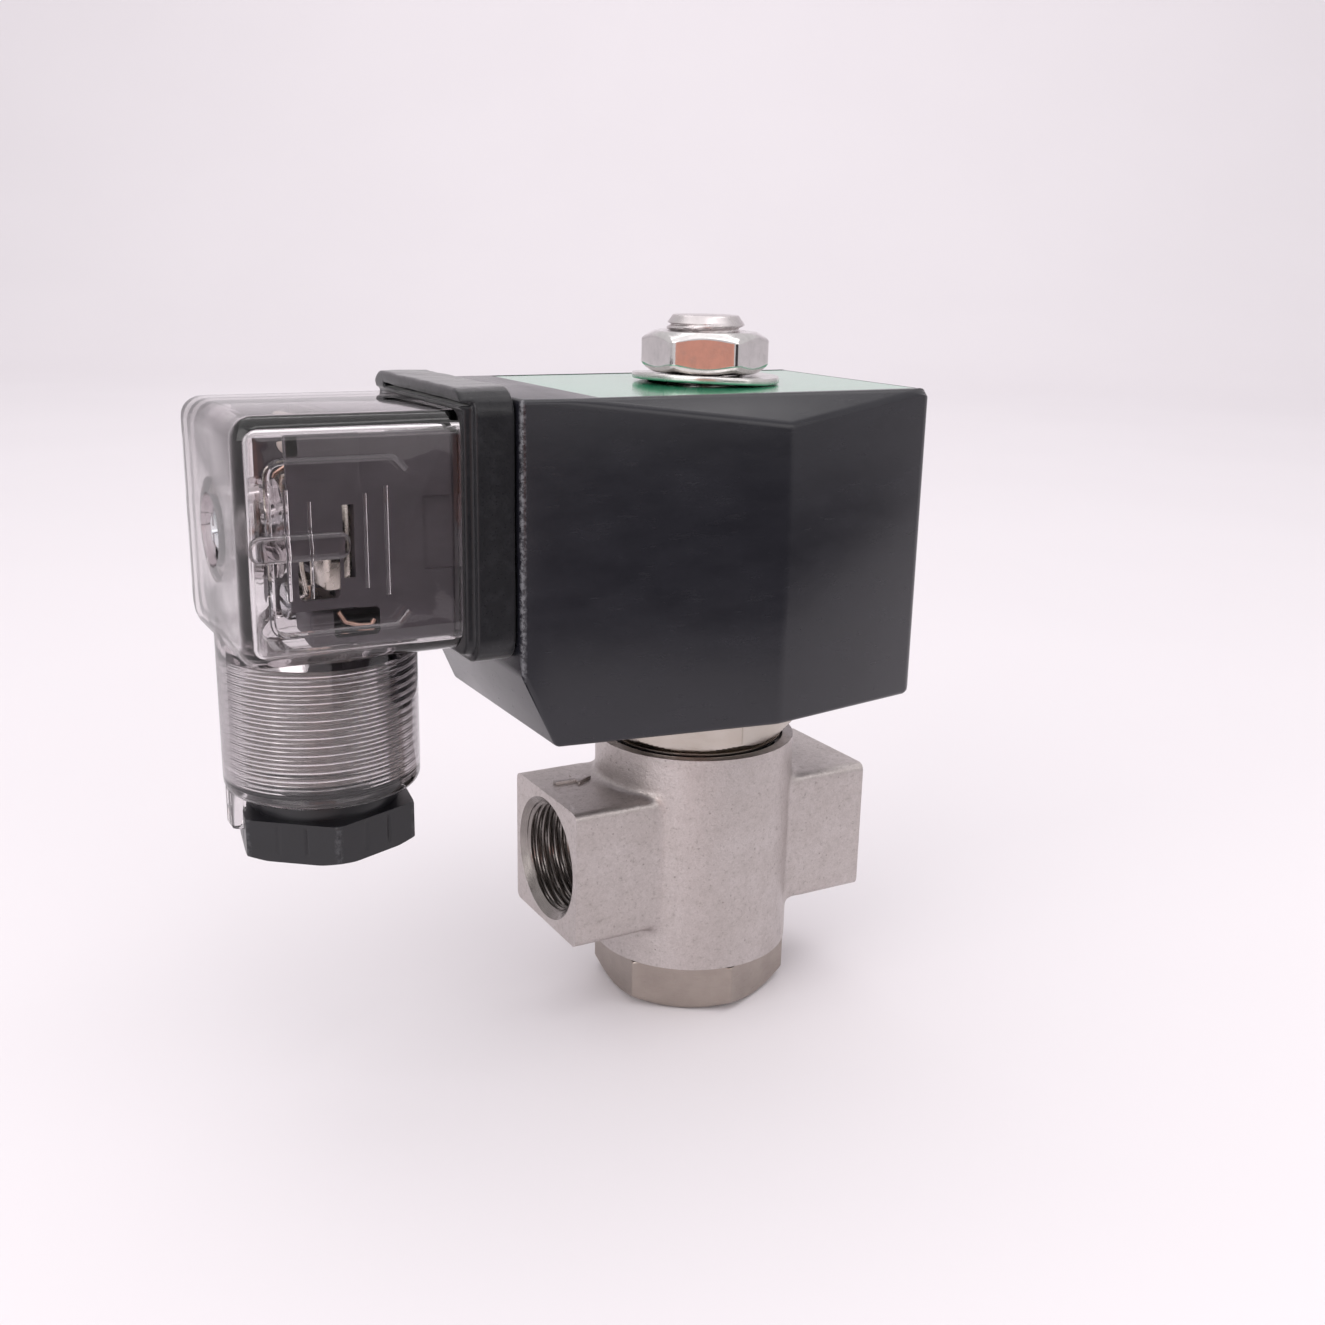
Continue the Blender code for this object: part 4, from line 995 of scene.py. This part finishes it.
def make_terminal_block():
    """The black carrier: a stepped body, a screw tower, and side plates with a window beside each clamp."""
    low, high = corners("terminal_block")
    rear, face = low.x, -40.2
    root = rear + 1  # the walls and plates start inside the body
    half_y, half_z = 11.9, (high.z - low.z) / 2
    floor, ceiling = HOUSE_Z - half_z, HOUSE_Z + half_z
    block = slab("carrier", (rear, -half_y, floor), (face, half_y, ceiling), 0.5, 2)
    nose = slab("nose", (face - 1, -11.2, HOUSE_Z - 11.4), (high.x, 11.2, HOUSE_Z + 11.4), 0.3, 2)
    tower = endways("tower", eased([(0, 50), (3.7, 50), (3.7, 55.6, 0.4), (0, 55.6)], 0, 3, closed=False), 48)
    walls = [
        slab("wall_line", (-54.6, -5.1, 64.0), (root, -4.2, 77.0), 0.2, 2),
        slab("wall_neutral", (-54.6, 4.2, 64.0), (root, 5.1, 77.0), 0.2, 2),
        slab("wall_earth", (-54.6, -4.4, 65.2), (root, 4.4, 66.1), 0.2, 2),
        slab("shelf", (-55.0, -7.4, 74.4), (root, 7.4, 75.3), 0.2, 2),
    ]
    plate_end = -59.2
    for side in (-1, 1):
        y_in, y_out = side * 11.4, side * (half_y + 0.03)
        plate = slab("plate", (plate_end, y_in, 63.0), (root, y_out, ceiling), 0.12, 2)
        cut(plate, slab("window", (-58.3, y_in - side, 64.2), (-53.6, y_out + side, 69.0), 0.7, 3, along=1))
        lug = slab("lug", (plate_end, side * 11.0, 79.9), (-57.6, y_out, ceiling), 0.2, 2)
        sill = slab("sill", (-57.2, side * 5.0, floor + 0.3), (root, side * half_y, 62.6), 0.5, 3)
        walls += [plate, lug, sill]
    add(block, nose, tower, *walls)
    cutters = [endways("screw_way", rod(2.6, 30, 60), 32)]
    for centre, wide in CONTACTS.values():
        cutters.append(bar_at("clip_way", -53.2, -36, centre, wide, 7.6, 3.0))
        cutters.append(bar_at("clamp_way", -53.2, -51.9, centre, wide, 8.2, 6.0))
    cut(block, *cutters)
    for side in (-1, 1):
        outside = side * (half_y + 1)
        pocket = slab("pocket", (-44.0, side * (half_y - 0.35), 66.6), (-39.0, outside, 75.0), 0.3, 2, along=1)
        bay = slab("bay", (-54.6, side * (half_y - 1.0), 59.8), (-49.3, outside, 62.9), 0.5, 3, along=1)
        cut(block, pocket, bay)
    install(block, "connector", "block", "terminal_block")


def bar_at(name, x_low, x_high, centre, wide, width, thick, radius=0.0):
    """A bar along X at a contact's place, wide across one direction and thick across the other."""
    y, z = centre
    half_y, half_z = (width / 2, thick / 2) if wide == "y" else (thick / 2, width / 2)
    return slab(name, (x_low, y - half_y, z - half_z), (x_high, y + half_y, z + half_z), radius, 2)


def make_contact(name):
    """A sprung clip with its clamp cage, and the slotted clamp screw."""
    centre, wide = CONTACTS[name]
    y, z = centre
    clip = bar_at(f"clip_{name}", -54.0, -37.5, centre, wide, 7.0, 2.4, 0.25)
    cage = bar_at("cage", -55.3, -52.3, centre, wide, 7.0 if name == "earth" else 11.0, 5.4, 0.45)
    add(clip, cage)
    fork = bar_at("fork", -48.0, -36, centre, wide, 9.0, 1.4)
    window = bar_at("window", -54.6, -52.9, centre, "y" if wide == "z" else "z", 7.0, 4.6, 0.3)
    cut(clip, fork, window, lathe("hole", rod(1.5, 52.8, 56), (0, y, z), (-1, 0, 0), 32))
    install(clip, "connector", "tin", f"contact_clip_{name}", smooth=40)
    shank, head, under_head, face = 1.2, 2.4, 55.6, 57.2
    outline = [(0, 53.1), (shank, 53.1), (shank, under_head)]
    outline += [(head, under_head, 0.2), (head, face, 0.5), (0, face)]
    outline = finer(eased(outline, 0, 4, closed=False), 0.12)
    ridges = helix(0.5, 0.14, 53.2, 55.5, 0.3)
    screw = lathe(f"clamp_screw_{name}", outline, (0, y, z), (-1, 0, 0), 48, ridges)
    cut(screw, slab("slot", (-58, y - 4, z - 0.32), (-56.5, y + 4, z + 0.32)))
    install(screw, "connector", "zinc", f"terminal_screw_{name}", smooth=40)


def make_contacts():
    """The three clips with their clamp screws."""
    for name in CONTACTS:
        make_contact(name)


def make_indicator():
    """The lamp board with its lamp, its resistor and the leads down to the clamps."""
    low, high = corners("indicator_board")
    board = slab("lamp_board", low, high, 0.12, 2)
    for y in (-5.6, -2.1, 1.2, 5.4):
        cut(board, lathe("via", rod(0.4, -high.x - 1, 1 - low.x), (0, y, 78.0), (-1, 0, 0), 16))
    install(board, "connector", "board", "indicator_board")
    rear, level = low.x, 79.5
    dome = eased([(0, 0.3), (1.5, 0.3), (1.5, 2.9, 1.4), (0, 4.0)], 0, 6, closed=False)
    install(lathe("lamp", dome, (rear, -3.4, level), (-1, 0, 0), 48), "connector", "led", "indicator_led")
    barrel = [(0, 0.6), (0.62, 0.62), (0.92, 0.9), (0.95, 1.5), (0.78, 2.0)]
    barrel += [(0.78, 4.7), (0.95, 5.2), (0.92, 5.9), (0.62, 6.18), (0, 6.2)]
    back = rear - 1.4
    body = lathe("resistor", barrel, (back, 0, level), (0, 1, 0), 32)
    install(body, "connector", "resistor", "indicator_resistor")
    leads = [
        [(back, 0.2, level), (back, -0.6, level), (rear - 0.6, -0.9, 79.4), (rear + 0.1, -0.9, 79.3)],
        [(back, 6.5, level), (rear - 1.2, 6.8, level), (rear - 0.4, 6.6, 79.4), (rear + 0.1, 6.6, 79.3)],
        [(rear - 0.2, -5.9, 78.0), (-55.8, -6.6, 76.4), (-57.0, -8.2, 74.0),
         (-57.0, -9.6, 72.4), (-55.6, -9.3, 71.6)],
        [(rear - 0.2, 5.6, 78.0), (-55.8, 6.6, 76.2), (-57.0, 8.6, 73.6),
         (-56.8, 9.6, 72.2), (-55.6, 9.2, 71.6)],
        [(rear - 0.2, -6.2, 77.4), (-57.4, -9.4, 72.0), (-57.6, -10.8, 67.6),
         (-57.0, -10.4, 64.6), (-56.6, -5.0, 62.9), (-55.8, -1.2, 62.0)],
        [(-53.9, -11.3, 62.5), (-53.2, -11.5, 61.3), (-51.6, -11.5, 60.8),
         (-50.2, -11.5, 60.7), (-49.8, -11.4, 61.3)],
    ]  # fmt: skip
    for i, path in enumerate(leads):
        look, radius = ("copper", 0.30) if i in (3, 5) else ("tin", 0.24)
        install(wire(f"lead_{i}", path, radius), "connector", look, smooth=60)


def make_screw():
    """The captive centre screw: a domed zinc head with a cross recess and a threaded end."""
    low, high = corners("centre_screw")
    tip, head_back, head_front = -high.x, 61.4, 0.75 - low.x
    outline = [(0, head_front), (1.6, head_front), (3.15, head_front - 0.75, 0.5), (3.2, head_back, 0.15)]
    outline += [(1.45, head_back), (1.45, 37.0), (1.30, 36.6), (1.30, tip + 0.5), (0.9, tip), (0, tip)]
    ridges = helix(0.5, 0.2, tip + 0.2, 36.4, 0.5)
    screw = endways("captive_screw", finer(eased(outline, 0, 4, closed=False), 0.13), 48, ridges)
    square = ((-1, -1), (1, -1), (1, 1), (-1, 1))
    faces = [(0, 1, 2, 3), (4, 5, 6, 7), (0, 1, 5, 4), (1, 2, 6, 5), (2, 3, 7, 6), (3, 0, 4, 7)]
    for arm, web in ((0.42, 2.1), (2.1, 0.42)):
        ends = ((-head_front - 0.2, 1), (-head_front + 1.6, 0.45))
        verts = [(x, y * arm * part, HOUSE_Z + z * web * part) for x, part in ends for y, z in square]
        cut(screw, made("cross", verts, faces))
    install(screw, "centre_screw", "zinc", "centre_screw", smooth=40)


def make_screw_seal():
    """The rubber washer under the centre screw's head."""
    low, high = corners("screw_seal")
    inner, outer = 1.75, high.y
    section = eased([(inner, -high.x), (outer, -high.x), (outer, -low.x), (inner, -low.x)], 0.22, 3)
    install(endways("seal_washer", section, 48), "screw_washer", "seal", "screw_seal")


# ---- gland


def make_gland_nut():
    """The black gland nut: a hexagon with shallow grip grooves, a round collar and a threaded sleeve."""
    low, high = corners("gland_nut")
    hole, flats, wide, hex_top = 5.0, 20.0, 11.75, 36.6
    outline = [(hole + 0.4, low.z), (9.2, low.z)]
    outline += finer([(10.6, low.z + 0.03), (wide, low.z + 0.5), (wide, hex_top - 0.25), (11.4, hex_top)], 0.25)
    outline += [(9.0, hex_top), (9.0, 38.1), (8.9, 38.35)]
    outline += finer([(8.9, 38.5), (8.9, high.z - 0.4)], 0.16) + [(8.5, high.z), (hole + 0.4, high.z)]
    outline += [(hole, high.z - 0.4), (hole, low.z + 0.4)]
    thread = helix(1.5, 0.5, 38.6, high.z - 0.1, 0.6)

    def grip(angle, radius, height):
        if radius < 8.95:
            return thread(angle, radius, height) if radius > 8.8 and height > 38.4 else radius
        if not low.z + 1.2 < height < hex_top - 0.3:
            return radius
        turn = (math.degrees(angle) - GLAND_CORNER) % 60
        near = min(abs(turn - spot) for spot in (20, 40))
        return radius - 0.14 * max(0.0, 1 - near / 1.3)

    angles = sorted({a % TURN for a in hexagon_angles(GLAND_CORNER)} | {TURN * i / 240 for i in range(240)})
    piece = hexagon("gland_cap", flats, GLAND_CORNER, outline, 0.18, (GLAND_X, 0, 0), grip, angles)
    install(piece, "gland_nut", "gland", "gland_nut", smooth=38)


def make_gland_seal():
    """The washer and the grommet that the nut squeezes, both of pale translucent rubber."""
    for node, inner in (("gland_washer", 4.6), ("gland_grommet", 3.6)):
        low, high = corners(node)
        outer = high.y
        shoulder = [(outer, high.z)] if node == "gland_washer" else [(outer, high.z - 1.8), (7.2, high.z)]
        section = [(inner, low.z), (outer, low.z), *shoulder, (inner, high.z)]
        ring = lathe(node + "_ring", eased(section, 0.3, 3), (GLAND_X, 0, 0), angles=72)
        install(ring, "gland_seal", "silicone", node, slot="seal_rubber")


# ---- parts kept from the CAD


KEPT = {
    "plug_oring": "seal", "tube_oring": "seal", "armature_tube": "turned", "shading_ring": "copper",
    "plunger": "magnet", "plunger_seal": "seal", "coil_bobbin": "bobbin", "coil_winding": "copper",
    "yoke_frame": "zinc", "yoke_bottom_plate": "zinc", "screw_insert": "brass",
    "spade_line": "tin", "spade_neutral": "tin", "spade_earth": "tin",
}  # fmt: skip


def dress_kept_nodes():
    """Gives the CAD pieces that stay as they are their procedural looks."""
    for node, look in KEPT.items():
        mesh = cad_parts[node].data
        mesh.materials.clear()
        mesh.materials.append(LOOKS[look].material)


# ---- stage


def make_stage():
    """A pale floor that curves up into a backdrop, square to the camera's bearing."""
    front, back, lift, curve, half_width, bearing, steps = -900.0, 1500.0, 900.0, 520.0, 2400.0, 29.7, 12
    section = [(front, 0.0), (back - curve, 0.0)]
    for i in range(1, steps + 1):
        angle = math.pi / 2 * i / steps
        section.append((back - curve + curve * math.sin(angle), curve - curve * math.cos(angle)))
    section.append((back, lift))
    turn = Matrix.Rotation(-math.radians(bearing), 3, "Z")
    verts = [turn @ Vector((x, y, z)) for x in (-half_width, half_width) for y, z in section]
    count = len(section)
    faces = [(i, i + 1, count + i + 1, count + i) for i in range(count - 1)]
    floor = made("backdrop", verts, faces)
    for polygon in floor.data.polygons:
        polygon.use_smooth = True
    look = Look("backdrop", Roughness=0.62)
    cloud = look.noise(160, 2)
    tone = look.blend(look.span(cloud, 0.35, 0.65), (0.797, 0.765, 0.79), (0.807, 0.775, 0.80))
    look.set("Base Color", tone)
    floor.data.materials.append(look.material)


def card(name, points, tone, glow):
    """A studio card that only shines back from glossy and clear surfaces."""
    piece = made(name, points, [tuple(range(len(points)))])
    look = Look(name, Roughness=0.9)
    fleck = look.noise(40, 2)
    shade = look.blend(look.span(fleck, 0.3, 0.7), tone, tuple(c * 0.85 for c in tone))
    look.set("Base Color", shade)
    look.set("Emission Color", shade)
    look.set("Emission Strength", glow)
    piece.data.materials.append(look.material)
    for ray in ("camera", "diffuse", "shadow", "volume_scatter"):
        setattr(piece, f"visible_{ray}", False)


def make_cards():
    """A dark table and room in front, and the warm shape that the nut's front flat mirrors."""
    left, right, near, far, table, top = -60, 620, -150, -900, 2, 330
    surface = [(left, near, table), (420, near, table), (right, far, table), (left, far, table)]
    card("dark_table", surface, (0.035, 0.032, 0.034), 0.0)
    wall = [(left, far, table), (right, far, table), (right, far, top), (left, far, top)]
    card("dark_room", wall, (0.05, 0.046, 0.05), 0.0)
    shape = [(-168, -160, 40), (left, -222, 40), (left, -222, 118), (-168, -160, 118)]
    card("warm_shape", shape, (0.50, 0.24, 0.18), 0.6)


def lamp(name, place, aim, size, power, tint):
    """A rectangular area light at a place, aimed at a point; size is its width and height."""
    light = bpy.data.lights.new(name, "AREA")
    light.shape = "RECTANGLE"
    light.size, light.size_y = size[0] * MM, size[1] * MM
    light.energy, light.color = power, tint
    item = placed(name, light)
    item.location = Vector(place) * MM
    item.rotation_euler = (Vector(aim) - Vector(place)).to_track_quat("-Z", "Y").to_euler()


def light_scene():
    """An even sky, a broad box above, a narrow strip for glints, and boxes behind, left and in front."""
    world = bpy.data.worlds.new("studio")
    world.use_nodes = True
    sky = world.node_tree.nodes["Background"]
    sky.inputs["Color"].default_value = (0.93, 0.90, 0.92, 1)
    sky.inputs["Strength"].default_value = 0.79
    bpy.context.scene.world = world
    lamp("top_box", (-60, -40, 700), (0, 0, 50), (1100, 900), 2.0, (1.0, 0.97, 0.98))
    lamp("strip", (100, -190, 620), (-10, -10, 60), (620, 80), 0.3, (1.0, 0.98, 0.98))
    lamp("back_box", (347, 608, 1150), (743, 1303, 250), (1400, 700), 4.5, (1.0, 0.97, 0.99))
    lamp("left_box", (-600, -260, 360), (-20, 0, 60), (560, 560), 1.95, (1.0, 0.97, 0.97))
    lamp("front_box", (240, -680, 300), (0, 0, 50), (640, 420), 0.9, (1.0, 0.97, 0.96))
    view = bpy.context.scene.view_settings
    view.view_transform, view.look = "Standard", "None"


def make_camera():
    """The photograph's viewpoint, as place, bearing, downward tilt and roll."""
    place, bearing, tilt, roll = (-99.37, -165.01, 101.15), 29.676, 15.678, 1.281
    yaw, pitch, twist = (math.radians(a) for a in (bearing, tilt, roll))
    ahead = Vector((math.sin(yaw) * math.cos(pitch), math.cos(yaw) * math.cos(pitch), -math.sin(pitch)))
    right = Vector((math.cos(yaw), -math.sin(yaw), 0))
    up = right.cross(ahead)
    c, s = math.cos(twist), math.sin(twist)
    right, up = right * c + up * s, up * c - right * s
    data = bpy.data.cameras.new("camera")
    data.sensor_width, data.lens = 36.0, 39.04
    data.clip_start, data.clip_end = 0.005, 20
    camera = placed("camera", data)
    turned = Matrix((right, up, -ahead)).transposed().to_4x4()
    camera.matrix_world = Matrix.Translation(Vector(place) * MM) @ turned
    bpy.context.scene.camera = camera


for make in (
    make_camera, make_stage, make_cards, light_scene, dress_kept_nodes,
    make_casting, make_plug, make_tube_hex, make_core, make_top_nut, make_top_washer, make_spring,
    make_coil_block, make_label, make_gasket, make_housing, make_tab, make_terminal_block, make_contacts,
    make_indicator, make_screw, make_screw_seal, make_gland_nut, make_gland_seal,
):  # fmt: skip
    make()
